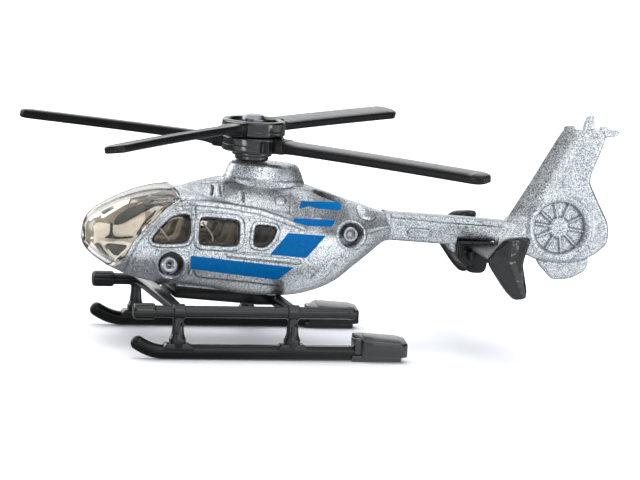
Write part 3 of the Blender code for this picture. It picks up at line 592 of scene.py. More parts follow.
def black_plastic(name, tone=0.008, rough=(0.12, 0.25), shine=0.30, wave=0.22):
    m = Nodes(name)
    b = m.bsdf
    cloud = m.noise(500.0, 4.0, 0.6)
    speck = m.noise(5200.0, 2.0, 0.6)
    fac = m.math("ADD", m.math("MULTIPLY", cloud, 0.6), m.math("MULTIPLY", speck, 0.4))
    m.plug(m.ramp(fac, [(0.25, (tone * 0.62, tone * 0.62, tone * 0.66)),
                        (0.6, (tone, tone, tone * 1.05)),
                        (0.85, (tone * 1.9, tone * 1.9, tone * 2.0))]), b.inputs["Base Color"])
    dust = m.fit(m.noise(2900.0, 3.0, 0.7), 0.0, 1.0, 0.62, 0.78)
    m.plug(m.math("ADD", m.fit(fac, rough[0], rough[1], 0.3, 0.75),
                  m.math("MULTIPLY", dust, 0.18)), b.inputs["Roughness"])
    fine = m.bump(m.noise(6500.0, 2.0, 0.6), 0.22, 0.00003)
    flow = m.bump(m.noise(700.0, 2.0), wave, 0.00012, fine)
    m.plug(flow, b.inputs["Normal"])
    b.inputs["Specular IOR Level"].default_value = shine
    b.inputs["IOR"].default_value = 1.5
    return m.mat


def clear_plastic(name, tint, haze=0.02, shade=(0.9, 0.88, 0.82), rim=None, ior=1.46):
    m = Nodes(name)
    b = m.bsdf
    cloud = m.noise(260.0, 3.0, 0.6)
    body = m.ramp(cloud, [(0.2, tuple(0.93 * c for c in tint)), (0.8, tint)])
    if rim:
        # painted shade: the base colour turns near black where the surface is seen edge-on,
        # drawing a dark outline
        facing = m.node("ShaderNodeLayerWeight", {"Blend": 0.5}).outputs["Facing"]
        body = m.mix(m.ramp(facing, [(0.0, (0, 0, 0)), (0.60, (0, 0, 0)), (0.84, (1, 1, 1))]),
                     body, rgb(*rim))
    m.plug(body, b.inputs["Base Color"])
    m.plug(m.fit(m.noise(2400.0, 2.0), haze * 0.5, haze * 2.2, 0.35, 0.7), b.inputs["Roughness"])
    b.inputs["Transmission Weight"].default_value = 1.0
    b.inputs["IOR"].default_value = ior
    m.plug(m.bump(m.noise(240.0, 2.0), 0.10, 0.00025), b.inputs["Normal"])
    clear = m.node("ShaderNodeBsdfTransparent", {"Color": rgb(*shade)})
    path = m.node("ShaderNodeLightPath")
    mixer = m.node("ShaderNodeMixShader", {0: path.outputs["Is Shadow Ray"],
                                           1: b.outputs["BSDF"], 2: clear.outputs["BSDF"]})
    m.tree.links.new(mixer.outputs[0], m.out.inputs["Surface"])
    return m.mat


def steel(name, base=(0.47, 0.48, 0.50), rough=(0.20, 0.36)):
    m = Nodes(name)
    b = m.bsdf
    b.inputs["Metallic"].default_value = 1.0
    fine = m.noise(3800.0, 4.0, 0.7)
    m.plug(m.ramp(fine, [(0.25, tuple(0.55 * c for c in base)), (0.5, base),
                         (0.8, tuple(min(1.0, 1.25 * c) for c in base))]),
           b.inputs["Base Color"])
    m.plug(m.fit(m.noise(1500.0, 3.0), rough[0], rough[1], 0.3, 0.7), b.inputs["Roughness"])
    dents = m.bump(m.noise(1500.0, 2.0, 0.5), 0.25, 0.00006)
    m.plug(m.bump(fine, 0.15, 0.00002, dents), b.inputs["Normal"])
    return m.mat


def moulded(name, dark, light, rough=(0.38, 0.6)):
    m = Nodes(name)
    b = m.bsdf
    cloud = m.noise(700.0, 4.0, 0.6)
    m.plug(m.ramp(cloud, [(0.3, dark), (0.7, light)]), b.inputs["Base Color"])
    m.plug(m.fit(m.noise(1900.0, 2.0), rough[0], rough[1], 0.3, 0.7), b.inputs["Roughness"])
    m.plug(m.bump(m.noise(3000.0, 3.0, 0.6), 0.35, 0.00006), b.inputs["Normal"])
    return m.mat


SILVER_PRINT = silver_paint("silver_paint_printed", True)
SILVER = silver_paint("silver_paint_plain")
BLACK = black_plastic("black_plastic_satin")
BLACK_HUB = black_plastic("black_plastic_hub", 0.009, (0.06, 0.14), 0.78)
HEEL = black_plastic("black_plastic_heel", 0.013, (0.16, 0.28), 0.85)
BAR = black_plastic("black_plastic_bar", 0.009, (0.10, 0.20), 0.62)
GLOSSY = black_plastic("black_plastic_glossy", 0.008, (0.07, 0.15), 0.55, 1.0)
BLADE = black_plastic("black_plastic_blade", 0.009, (0.17, 0.29), 0.24)
CLEAR = clear_plastic("clear_canopy", (0.965, 0.945, 0.90), rim=(0.05, 0.045, 0.036), ior=1.35)
SMOKED = clear_plastic("smoked_windows", (0.64, 0.61, 0.56), 0.03, (0.66, 0.62, 0.56), ior=1.24)
STEEL = steel("rivet_steel_worn")
PIN_STEEL = steel("pin_steel_worn", (0.25, 0.26, 0.29), (0.22, 0.36))
BEIGE = moulded("cabin_beige", (0.60, 0.56, 0.48), (0.80, 0.76, 0.68))
BROWN = moulded("cabin_brown", (0.17, 0.155, 0.135), (0.46, 0.42, 0.36))
# near-black plastic; also used for sheets of painted shade inside the cabin and the bubble
DARK = moulded("cabin_dark", (0.007, 0.0065, 0.006), (0.022, 0.020, 0.018), (0.3, 0.5))
# dark strips that paint reflection lines inside the bubble
REFLECTION_STREAK = moulded("dark_painted_reflection", (0.035, 0.034, 0.028), (0.10, 0.096, 0.080), (0.3, 0.5))
# pale strips that paint highlights
PALE_HIGHLIGHT = moulded("pale_painted_highlight", (0.74, 0.72, 0.66), (0.90, 0.88, 0.82), (0.25, 0.4))


# -------------------------------------------------------------- body castings
def screen_x(z):
    return np.interp(z, [p[1] for p in SCREEN_LINE], [p[0] for p in SCREEN_LINE])


def on_screen_line(t, shift=0.0):
    """x where the skin crosses the bubble's joint, for each ring position."""
    lo, hi = np.full(t.shape, NOSE_X + 0.2), np.full(t.shape, -8.0)
    for _ in range(40):
        mid = (lo + hi) / 2
        ahead = mid < screen_x(surf(mid, t)[..., 2]) + shift
        lo, hi = np.where(ahead, mid, lo), np.where(ahead, hi, mid)
    return (lo + hi) / 2


WINDOW_1 = soften(flat([(-16.65, 16.70), (-15.44, 18.41), (-13.80, 19.96), (-12.11, 20.41),
                        (-11.07, 20.17), (-10.87, 17.46), (-11.41, 16.10), (-15.34, 15.96),
                        (-16.37, 16.20)], -9.6))
WINDOW_2 = soften(flat([(-9.72, 19.76), (-9.30, 20.08), (-4.25, 19.72), (-3.74, 19.17),
                        (-3.72, 16.29), (-4.49, 15.83), (-9.30, 16.00), (-9.78, 16.38)], -10.2))
WINDOW_3 = soften(flat([(-1.41, 19.11), (1.55, 18.82), (1.85, 18.12), (1.15, 16.60),
                        (0.04, 15.74), (-1.60, 15.95), (-1.57, 17.51)], -10.2))
WINDOW_DEPTH = 0.95

PRINTS = [flat([(-10.84, 14.37), (4.73, 12.80), (2.34, 10.91), (-10.82, 12.38)], -9.9),
          flat([(3.73, 17.86), (9.40, 17.50), (6.58, 14.15), (1.10, 14.61)], -9.6),
          flat([(4.75, 19.94), (11.06, 19.71), (10.41, 18.70), (6.91, 18.75), (4.45, 19.28)],
               -8.6),
          flat([(6.07, 22.18), (12.29, 22.12), (12.10, 20.83), (8.81, 21.03), (7.45, 21.39),
                (5.89, 21.08)], -6.5)]


DECK_EDGE = [(-11.25, 22.87), (-9.88, 23.48), (-6.93, 23.82), (-3.83, 23.96), (-1.11, 23.78),
             (1.81, 23.66), (4.72, 23.60), (7.63, 23.45), (9.3, 23.05)]


def edge_top(u):
    return np.interp(u, [q[0] for q in DECK_EDGE], [q[1] for q in DECK_EDGE])


def skin_relief(u, v):
    """Relief height and darkness on the side skin, drawn on the plane: dark joint lines, and
    painted shade in creases, recesses and under edges.
    """
    d = np.zeros(u.shape)
    g = np.zeros(u.shape)

    def groove(line, width=0.13, depth=0.10, dark=0.8, shade=True):
        nonlocal d, g
        q, _ = line_d(u, v, line)
        d -= depth * bell(q, width * 1.6)
        if shade:
            g = np.maximum(g, dark * bell(q, width * 1.5))

    def rib(line, half=0.25, height=0.14):
        nonlocal d
        q, _ = line_d(u, v, line)
        d += height * step(q - half, 0.28)

    # ledge where the deck side meets the doors
    ledge = soften(flat([(-12.4, 22.15), (-9.5, 22.33), (-6.0, 22.07), (-2.83, 21.56),
                         (-0.51, 21.22), (2.0, 20.41), (4.72, 19.50), (6.6, 18.9)], -8.3), 2,
                   False)
    q, side = line_d(u, v, ledge)
    below = -side
    reach = np.clip((6.9 + 2.0 - u) / 3.0, 0, 1)
    d += 0.26 * bell(below - 0.38, 0.42) * reach
    d += 0.17 * bell(below - 1.08, 0.30) * reach
    # painted shade in the creases along the ledge
    g = np.maximum(g, 0.75 * bell(below + 0.05, 0.17) * reach)
    g = np.maximum(g, 0.80 * bell(below - 0.80, 0.13) * reach)
    g = np.maximum(g, 0.62 * bell(below - 1.42, 0.13) * reach)

    # door window frames: raised rounded bands round each opening
    for win, band in ((WINDOW_1, 0.52), (WINDOW_2, 0.72), (WINDOW_3, 0.5)):
        s = sdf(u, v, win)
        d += 0.18 * step(s - band, 0.18)
        # painted shade at the outer edge of each frame band, and on the recessed walls inside the
        # opening
        g = np.maximum(g, 0.72 * bell(s - band - 0.07, 0.14))
        g = np.maximum(g, 1.0 * step(s - 0.06, 0.10))
    # strip between the doors
    post = soften(flat([(-10.62, 21.30), (-10.42, 19.38), (-10.36, 15.83), (-10.72, 14.81),
                        (-10.80, 11.76)], -9.9), 2, False)
    rib(post, 0.14, 0.14)
    q, s = line_d(u, v, post)
    # painted shade along both sides of the strip
    g = np.maximum(g, 0.75 * bell(s - 0.36, 0.13))
    g = np.maximum(g, 0.65 * bell(s + 0.34, 0.13))
    # front edge bead along the bubble joint
    edge = np.array([(p[0], p[1]) for p in SCREEN_LINE[1:-1]])
    bead = flat(edge + np.array([0.62, 0.0]), -8.0)
    groove(soften(bead, 2, False), 0.12, 0.09, 0.6)
    # sliding door rail and sill lines
    rail = flat([(-5.2, 14.50), (0.0, 14.06), (5.35, 13.62)], -10.0)
    rib(rail, 0.17, 0.22)
    q, s = line_d(u, v, rail)
    # painted shade along the underside of the rail
    g = np.maximum(g, 0.9 * bell(q - 0.38, 0.14))
    groove(flat([(-15.9, 15.05), (-13.0, 14.86), (-11.4, 14.78)], -9.7), 0.10, 0.07, 0.55)
    groove(flat([(-9.6, 15.22), (-6.0, 15.02), (-1.0, 14.80), (1.6, 14.62)], -10.1), 0.10, 0.07,
           0.55)
    groove(soften(flat([(-10.2, 12.0), (-10.0, 11.37), (-9.3, 11.05), (-7.0, 10.88),
                        (-3.45, 10.60), (0.0, 10.25), (2.6, 9.95)], -9.6), 2, False),
           0.15, 0.14, 0.95)
    # lip under the roof edge
    lip_line = soften([(-3.91, 23.82), (-1.48, 23.67), (0.85, 23.58), (3.76, 23.51),
                       (5.70, 23.34), (8.24, 23.07), (9.61, 22.67)], 2, False)
    q, side = line_d(u, v, lip_line)
    d += 0.16 * bell(side - 0.22, 0.30)
    # painted shade just under the lip
    g = np.maximum(g, 0.75 * bell(side + 0.10, 0.15))
    # small fittings on the deck side
    bump = [(4.42 + 0.80 * math.cos(a), 21.25 + 0.52 * math.sin(a))
            for a in np.linspace(0, 2 * math.pi, 24, endpoint=False)]
    s = sdf(u, v, bump)
    d += 0.28 * step(s, 0.30)
    # painted shade in the crease round the fitting
    g = np.maximum(g, 0.75 * bell(s - 0.12, 0.14))
    slit = [(-5.90, 23.45), (-5.82, 22.9), (-5.92, 22.15)]
    groove(slit, 0.16, 0.45, 1.0)
    d += 0.10 * step(np.abs(u + 4.9) - 0.75, 0.5) * step(21.9 - v, 0.4)
    rib([(-1.59, 22.50), (-1.48, 21.10)], 0.20, 0.22)
    groove([(-1.10, 22.56), (-1.02, 21.04)], 0.12, 0.08, 0.95)
    rib([(-5.03, 23.2), (-4.90, 21.9)], 0.26, 0.20)
    groove([(-4.56, 23.2), (-4.45, 21.8)], 0.10, 0.05, 0.5)
    groove([(5.89, 22.60), (6.05, 19.30)], 0.10, 0.06, 0.6)
    q, s = line_d(u, v, soften(DECK_EDGE, 2, False))
    span = np.clip((u + 11.6) / 1.0, 0, 1) * np.clip((9.6 - u) / 1.2, 0, 1)
    d -= 0.16 * bell(q, 0.22) * span
    # painted shade in the groove at the deck edge, and a broader painted shade below it
    g = np.maximum(g, 0.62 * bell(q, 0.20) * span)
    under = np.clip((edge_top(u) - v) / 0.4, 0, 1) * np.clip(1 - (edge_top(u) - v) / 1.7, 0, 1)
    g = np.maximum(g, 0.20 * under * span)
    # intake under the rear deck edge
    intake = soften([(9.2, 22.85), (10.6, 22.75), (13.1, 22.0), (14.9, 21.35), (14.5, 21.0),
                     (12.5, 21.45), (10.4, 22.15)], 2)
    s = sdf(u, v, intake)
    d -= 0.60 * step(s, 0.22)
    # painted shade filling the intake recess
    g = np.maximum(g, 1.0 * step(s - 0.10, 0.24))
    # exhaust teardrop
    drop = soften(flat([(14.86, 21.12), (15.60, 21.70), (17.19, 20.77), (18.02, 19.64),
                        (17.08, 19.06), (15.51, 19.61)], -4.6), 3)
    s = sdf(u, v, drop)
    d += 0.55 * np.sqrt(np.clip(-s / 0.9, 0, 1))
    # painted shade in the crease round the teardrop
    g = np.maximum(g, 0.9 * bell(s - 0.08, 0.15))
    # oval panel low at the rear
    oval = soften(flat([(7.71, 10.83), (8.44, 11.79), (11.22, 14.10), (11.82, 13.54),
                        (10.01, 11.05), (8.50, 10.46)], -7.8), 3)
    s = sdf(u, v, oval)
    d += 0.10 * step(s, 0.2)
    # painted shade in the crease round the raised oval
    g = np.maximum(g, 0.6 * bell(s - 0.05, 0.14))
    groove([(15.9, 14.83), (18.6, 14.87)], 0.10, 0.06, 0.55)
    # rivet wells
    for (x, y, z), r in (((-13.56, -9.2, 12.78), 1.93), ((13.83, -7.0, 17.30), 1.86)):
        cu, cv = to_plane(x, y, z)
        s = np.hypot(u - cu, v - cv) - r
        d += 0.15 * bell(s - 0.20, 0.28)
        d -= 1.25 * step(s + 0.05, 0.14)
        # painted shade inside each well and in the crease round its lip
        g = np.maximum(g, 0.8 * step(s + 0.02, 0.12))
        g = np.maximum(g, 0.5 * bell(s - 0.46, 0.12))
    return d, g


NX, NT = 330, 236
tt = np.linspace(-math.pi / 2, math.pi / 2, NT + 1)
start = on_screen_line(tt, 0.05)
frac = np.linspace(0, 1, NX + 1)
X = start[None, :] + (BODY_END_X - start[None, :]) * frac[:, None]
T = np.broadcast_to(tt[None, :], X.shape)
P = surf(X, T)
N = grid_normals(P)
if N[NX // 2, NT // 2, 1] < 0:
    N = -N
U, V = to_plane(P[..., 0], -P[..., 1], P[..., 2])
relief, groove_mask = skin_relief(U, V)
window_s = np.minimum(np.minimum(sdf(U, V, WINDOW_1), sdf(U, V, WINDOW_2)),
                      sdf(U, V, WINDOW_3))
side_on = np.clip((np.abs(P[..., 1]) - 1.2) / 1.0, 0, 1)
relief = relief * side_on
seam = np.clip(1 - P[..., 1] / 0.22, 0, 1)
relief = relief - 0.10 * seam ** 2
groove_mask = np.maximum(groove_mask * side_on, 0.8 * seam)
print_d = np.full(U.shape, 9.0)
for outline in PRINTS:
    print_d = np.minimum(print_d, sdf(U, V, outline))
print_d = np.where(P[..., 2] > 9.0, print_d, 9.0)
# the print misses the ledge that crosses the upper stripes
skin = P + N * relief[..., None]
into = step(window_s, 0.13)
skin = skin - N * (WINDOW_DEPTH * into)[..., None]
skin[..., 1] = np.maximum(skin[..., 1], 0.03)
open_window = (window_s[:-1, :-1] < -0.16) & (window_s[1:, :-1] < -0.16) \
    & (window_s[:-1, 1:] < -0.16) & (window_s[1:, 1:] < -0.16)

# wall at the bubble joint and rounded tail end
lead = []
for depth, dx in ((1.10, 0.0), (0.30, 0.0), (0.10, 0.03), (0.03, 0.10)):
    lead.append(skin[0] - N[0] * depth + np.array([dx, 0, 0]))
trail = []
mid = np.array([BODY_END_X, 0.0, 17.8])
for dx, k in ((0.10, 0.975), (0.20, 0.93), (0.26, 0.86), (0.28, 0.70), (0.28, 0.0)):
    ring = mid + (skin[-1] - mid) * k
    ring[:, 0] = BODY_END_X + dx - 0.05
    ring[:, 1] = np.maximum(ring[:, 1], 0.03 if k else 0.0)
    trail.append(ring)
full = np.concatenate([np.array(lead), skin, np.array(trail)])
rows = full.shape[0]
keep = np.ones((rows - 1, NT), bool)
keep[len(lead):len(lead) + NX] = ~open_window
pad0, pad1 = len(lead), len(trail)
g_all = np.concatenate([np.full((pad0, NT + 1), 0.55), groove_mask,
                        np.zeros((pad1, NT + 1))])
p_all = np.concatenate([np.full((pad0, NT + 1), 9.0), print_d, np.full((pad1, NT + 1), 9.0)])
shell = (full.reshape(-1, 3), [tuple(f) for f in quads(rows, NT + 1, keep)])
sill_y = 5.1
sill = np.array([(-10.76, 8.51), (-7.17, 8.22), (-4.46, 8.0), (-1.33, 7.70), (1.99, 7.40),
                 (4.32, 7.20)])
k_ = (-sill_y - EYE[1]) / (0.0 - EYE[1])
sill = [(EYE[0] + (a - EYE[0]) * k_, sill_y, EYE[2] + (b - EYE[2]) * k_) for a, b in sill]
edge_bar = tube(sill, 0.13, 10)
g_all = np.concatenate([g_all.ravel(), np.zeros(len(edge_bar[0]))])
p_all = np.concatenate([p_all.ravel(), np.full(len(edge_bar[0]), 9.0)])
shell = join(shell, edge_bar)
for label, part in (("left", mirror(shell)), ("right", shell)):
    make("body_shell_" + label, part, SILVER_PRINT, recalc=False,
         replaces=["fuselage_%s_half" % label], sharp=38.0,
         attrs={"groove": g_all.ravel(), "print_d": p_all.ravel()})

# near-black sheet on the inner face of the casting: painted shade for the unlit inside of the
# cabin
lx = np.linspace(0, 1, 110)[:, None]
lt = np.linspace(-0.9, math.pi / 2, 90)[None, :]
ls = on_screen_line(lt[0], 0.25)
LX = ls[None, :] + (6.5 - ls[None, :]) * lx
LT = np.broadcast_to(lt, LX.shape)
LP = surf(LX, LT)
LN = grid_normals(LP)
if LN[50, 45, 1] < 0:
    LN = -LN
LU, LV = to_plane(LP[..., 0], -LP[..., 1], LP[..., 2])
lw = np.minimum(np.minimum(sdf(LU, LV, WINDOW_1), sdf(LU, LV, WINDOW_2)), sdf(LU, LV, WINDOW_3))
LQ = LP - LN * 1.15
LQ[..., 1] = np.maximum(LQ[..., 1], 0.02)
c = (lw[:-1, :-1] > 0.05) | (lw[1:, 1:] > 0.05)
inner_shade_sheet = (LQ.reshape(-1, 3), [tuple(f) for f in quads(110, 90, c)])
make("cabin_inner_shade", join(inner_shade_sheet, mirror(inner_shade_sheet)), DARK, recalc=False)


# ------------------------------------------------------------------- windows
def shell_of(outer, inner):
    """Closed thin shell between two grids of the same size."""
    r, cnum = outer.shape[:2]
    n = r * cnum
    f = [tuple(q) for q in quads(r, cnum)]
    f += [tuple(q[::-1]) for q in quads(r, cnum, base=n)]
    ring = [i * cnum for i in range(r)] + [(r - 1) * cnum + j for j in range(1, cnum)] \
        + [i * cnum + cnum - 1 for i in range(r - 2, -1, -1)] + list(range(cnum - 2, 0, -1))
    for a, b in zip(ring, ring[1:] + ring[:1]):
        f.append((b, a, a + n, b + n))
    return np.vstack([outer.reshape(-1, 3), inner.reshape(-1, 3)]), f


wx = np.linspace(-17.3, 2.8, 90)[:, None] * np.ones((1, 30))
wt = np.ones((90, 1)) * np.linspace(0.05, 0.86, 30)[None, :]
WP = surf(wx, wt)
WN = grid_normals(WP)
if WN[45, 15, 1] < 0:
    WN = -WN
pane = shell_of(WP - WN * 0.34, WP - WN * 0.80)
make("window_pane_right", pane, SMOKED,
     replaces=["side_window_right"])
make("window_pane_left", mirror(pane), SMOKED,
     replaces=["side_window_left"])

# -------------------------------------------------------------------- canopy
CN, CT = 90, 150
ct = np.linspace(-math.pi / 2, math.pi / 2, CT + 1)
ce = on_screen_line(ct, -0.06)
cf = np.linspace(0.0, 1, CN + 1) ** 1.7
CX = NOSE_X + 0.004 + (ce[None, :] - NOSE_X - 0.004) * cf[:, None]
CTT = np.broadcast_to(ct[None, :], CX.shape)
CP = surf(CX, CTT)
CNN = grid_normals(CP)
if CNN[CN // 2, CT // 2, 1] < 0:
    CNN = -CNN
CU, CV = to_plane(CP[..., 0], -CP[..., 1], CP[..., 2])
lip = bell((ce[None, :] - CX) - 0.35, 0.35) * 0.06
frame_line, _ = line_d(CU, CV, [(-23.9, 15.2), (-20.6, 15.0), (-18.7, 14.6)])
vee, _ = line_d(CU, CV, [(-22.0, 14.9), (-20.2, 12.2), (-18.9, 14.5)])
post_line, _ = line_d(CU, CV, [(-21.0, 18.2), (-21.1, 15.1)])
ridge = 0.14 * bell(frame_line, 0.34) + 0.12 * bell(vee, 0.30) + 0.06 * bell(post_line, 0.22)
ridge = (ridge + lip) * np.clip(CP[..., 1] / 0.8, 0, 1)
outer = CP + CNN * ridge[..., None]
outer[:, 0, 1] = outer[:, -1, 1] = 0.0
thick = 0.42 * np.clip((CP[..., 0] - NOSE_X) / 0.6, 0.35, 1)
inner = CP - CNN * thick[..., None]
inner[..., 0] = np.maximum(inner[..., 0], NOSE_X + 0.30)
inner[:, 0, 1] = inner[:, -1, 1] = 0.0
inner[..., 1] = np.maximum(inner[..., 1], 0.0)
both_o = np.concatenate([outer * np.array([1, -1, 1]), outer[:, -2:0:-1]], axis=1)
both_i = np.concatenate([inner * np.array([1, -1, 1]), inner[:, -2:0:-1]], axis=1)
rr, cc = both_o.shape[:2]
nn = rr * cc
cf_ = [tuple(q) for q in quads(rr, cc, close=True)]
cf_ += [tuple(q[::-1]) for q in quads(rr, cc, close=True, base=nn)]
last = (rr - 1) * cc
for j in range(cc):
    k = (j + 1) % cc
    cf_.append((last + j, last + k, last + k + nn, last + j + nn))
cf_.append(tuple(range(cc)))
cf_.append(tuple(range(nn, nn + cc))[::-1])
make("canopy_bubble", (np.vstack([both_o.reshape(-1, 3), both_i.reshape(-1, 3)]), cf_), CLEAR,
     replaces=["canopy_glazing"], sharp=50.0)


# ------------------------------------------------------------- cabin moulding
def seat(x, y, w=1.7, back=0.0):
    side_view = [(-14.6, 14.2), (-14.9, 15.6), (-14.4, 16.3), (-12.0, 16.0), (-11.4, 16.6),
                 (-10.5, 19.6), (-10.0, 20.1), (-9.5, 19.8), (-9.6, 18.6), (-10.2, 14.2)]
    return rprism([(px + 12.0 + x, pz) for px, pz in side_view], y - w, y + w, 0.35, 3)


fx = np.linspace(-21.4, 5.4, 14)
fy = np.array([float(surf(np.array(v), np.array(-0.12))[1]) - 1.5 for v in fx])
floor_plan = list(zip(fx, fy)) + list(zip(fx[::-1], -fy[::-1]))
make("cabin_floor", rprism(floor_plan, 13.3, 14.3, 0.15, 2, plane="xy"), DARK)
panel = rprism([(-19.2, 13.7), (-20.1, 15.2), (-19.7, 16.6), (-18.6, 17.6), (-17.6, 17.2),
                (-17.3, 14.0)], -5.2, 5.2, 0.3, 3)
binnacle = rprism([(-18.9, 16.6), (-18.7, 18.2), (-17.9, 18.5), (-17.5, 17.0)], -2.2, 2.2, 0.25)
make("instrument_panel", join(panel, binnacle), BEIGE,
     replaces=["cabin_interior"])
seats = [seat(-12.4, -3.3), seat(-12.4, 3.3), seat(-5.6, -5.2, 2.2), seat(-5.6, 5.2, 2.2),
         seat(-5.6, 0.0, 1.8), seat(0.6, -4.6, 2.4), seat(0.6, 4.6, 2.4)]
make("cabin_seats", join(*seats), BROWN)

# painted highlights: pale strips along the edges of the seat backs, close behind the panes
edges = []
for line in ([(-15.35, 18.35), (-14.55, 17.35), (-13.75, 16.35)],
             [(-8.9, 19.0), (-7.9, 17.9), (-7.35, 17.2), (-7.25, 16.3)],
             [(-14.9, 18.5), (-13.9, 19.3), (-12.6, 19.75), (-11.9, 19.6)]):
    pts = soften([(px, pz) for px, pz in line], 2, False)
    edges.append(tube([(px, -8.15, pz) for px, pz in pts], 0.13, 10))
    edges.append(tube([(px, 8.15, pz) for px, pz in pts], 0.13, 10))
make("seat_edge_highlights", join(*edges), PALE_HIGHLIGHT)

# mouldings, and sheets of painted shade, highlight and reflection, just inside the bubble, drawn
# on the middle plane and laid on its inner skin
def inside_bubble(name, outlines, mat, inset, holes=(), far=None):
    gx = np.linspace(0, 1, 190)[:, None]
    gt = np.linspace(-1.50, 1.5, 230)[None, :]
    ge = on_screen_line(gt[0], -0.1)
    GX = NOSE_X + 0.5 + (ge[None, :] - NOSE_X - 0.5) * gx
    GT = np.broadcast_to(gt, GX.shape)
    G = surf(GX, GT)
    GN = grid_normals(G)
    if GN[90, 110, 1] < 0:
        GN = -GN
    a, b = to_plane(G[..., 0], -G[..., 1], G[..., 2])
    G = G - GN * inset
    thick = G - GN * 0.25
    parts = []
    for shapes in (outlines, far or outlines):
        d = np.full(a.shape, 9.0)
        for o in shapes:
            d = np.minimum(d, sdf(a, b, soften(o, 2)))
        for o in holes:
            d = np.maximum(d, -sdf(a, b, soften(o, 2)))
        kept = (d[:-1, :-1] < 0) & (d[1:, 1:] < 0.02) & (G[:-1, :-1, 1] > 0.05)
        f1 = [tuple(q) for q in quads(190, 230, kept)]
        f2 = [tuple(q[::-1]) for q in quads(190, 230, kept, base=190 * 230)]
        part = (np.vstack([G.reshape(-1, 3), thick.reshape(-1, 3)]), f1 + f2)
        used = sorted({k for f in part[1] for k in f})
        index = {k: i for i, k in enumerate(used)}
        parts.append((part[0][used], [tuple(index[k] for k in f) for f in part[1]]))
    make(name, join(mirror(parts[0]), parts[1]), mat, recalc=False)


CRESCENT = [(-20.67, 17.46), (-20.67, 18.18), (-20.07, 19.18), (-18.63, 20.23), (-16.57, 20.98),
            (-13.8, 21.47), (-11.2, 21.71), (-11.18, 21.37), (-12.74, 21.17), (-14.64, 20.67),
            (-16.18, 19.92), (-18.04, 18.7), (-19.39, 17.85)]
CRESCENT_FAR = [(-16.21, 20.64), (-13.79, 21.16), (-11.19, 21.47), (-11.18, 21.25),
                (-12.74, 21.0), (-15.15, 20.42)]
POST = [(-21.29, 18.0), (-20.98, 18.07), (-20.86, 15.94), (-19.99, 15.58), (-17.59, 15.78),
        (-17.57, 15.4), (-19.97, 15.16), (-21.98, 15.24), (-22.02, 15.48), (-21.29, 15.9)]
CHIN = [(-22.35, 14.60), (-18.0, 14.38), (-20.40, 12.05)]
VEE = [(-23.46, 15.12), (-22.01, 14.96), (-17.7, 14.75), (-17.8, 14.12), (-20.35, 11.55),
       (-22.12, 14.48), (-23.48, 14.91)]
TUB = [(-24.92, 16.57), (-24.48, 14.52), (-23.0, 12.82), (-21.56, 11.81), (-20.32, 11.48),
       (-18.63, 12.53), (-17.5, 14.61), (-17.04, 15.99), (-16.09, 18.07), (-14.78, 19.98),
       (-16.87, 19.78), (-18.39, 18.72), (-20.59, 17.32), (-21.67, 17.99), (-23.6, 18.14)]
# painted shade: a dark crescent sheet inside the top of the bubble
inside_bubble("canopy_shade_crescent", [CRESCENT], DARK, 0.66, far=[CRESCENT_FAR])
# the post is a dark strip; the chin patch is a dark sheet of painted shade behind the clear chin
# window
inside_bubble("screen_post_and_chin_shade", [POST, CHIN], DARK, 0.60)
# painted highlight: a pale V along the chin frame
inside_bubble("chin_frame_highlight", [VEE], PALE_HIGHLIGHT, 0.60, [CHIN])
inside_bubble("nose_tub", [TUB], BEIGE, 0.98)
# painted reflections: dark streaks laid inside the bubble
STREAKS = [[(-23.86, 14.35), (-23.08, 14.45), (-22.03, 12.57), (-21.21, 11.81), (-21.99, 11.8),
            (-23.0, 12.9)],
           [(-15.42, 18.76), (-14.52, 20.07), (-14.17, 19.9), (-14.9, 18.86), (-15.99, 17.81),
            (-16.86, 15.82), (-17.3, 15.99), (-16.1, 18.24)],
           [(-22.88, 19.7), (-20.92, 20.72), (-20.71, 20.55), (-22.61, 19.39)],
           [(-17.64, 21.48), (-15.58, 22.15), (-11.48, 22.26), (-11.47, 21.98), (-15.39, 21.86),
            (-17.29, 21.32)]]
inside_bubble("painted_reflection_streaks", STREAKS, REFLECTION_STREAK, 0.72)

# ------------------------------------------------------------- cross rivets
for name, (rx, rz), skin_y in (("front_rivet", (-13.56, 12.72), 9.1),
                               ("rear_rivet", (13.8, 17.3), 7.3)):
    floor_y = skin_y - 1.25
    items = [lathe([(0.88, -floor_y), (0.88, floor_y)], 32, (rx, 0, rz), (0, 1, 0))]
    for sgn in (-1, 1):
        if name == "front_rivet":
            prof = [(0.88, -0.3), (1.36, -0.1), (1.42, 0.15), (1.33, 0.42), (1.02, 0.62),
                    (0.66, 0.56), (0.42, 0.34), (0.28, 0.02), (0.05, -0.08)]
        else:
            prof = [(0.88, -0.3), (1.08, -0.1), (1.12, 0.3), (1.02, 0.5), (0.80, 0.46),
                    (0.60, 0.28), (0.38, 0.02), (0.05, -0.1)]
        items.append(lathe(rounded(prof, 0.1, 3), 40, (rx, sgn * (floor_y + 0.02), rz),
                           (0, sgn, 0)))
    make(name + "_head", join(*items), STEEL, replaces=[name])

# ------------------------------------------------------------- mast fairing
ang = np.linspace(0, 2 * math.pi, 120, endpoint=False)
prof = rounded([(1.03, 22.6), (1.015, 24.55), (0.985, 24.9), (0.945, 25.6), (0.865, 26.65),
                (0.80, 26.95), (0.74, 27.05), (0.2, 27.07)], 0.25, 4)
fr = []
for k, z in prof:
    x = 1.75 + 6.0 * k * np.cos(ang)
    fr.append(np.stack([x, 4.2 * k * np.sin(ang), z - 0.05 * (x - 1.75)
                        + 0 * ang], -1))
fr = np.array(fr)
ff = [tuple(q) for q in quads(len(fr), 120, close=True)]
ff += [tuple(range(120)), tuple(range((len(fr) - 1) * 120, len(fr) * 120))[::-1]]
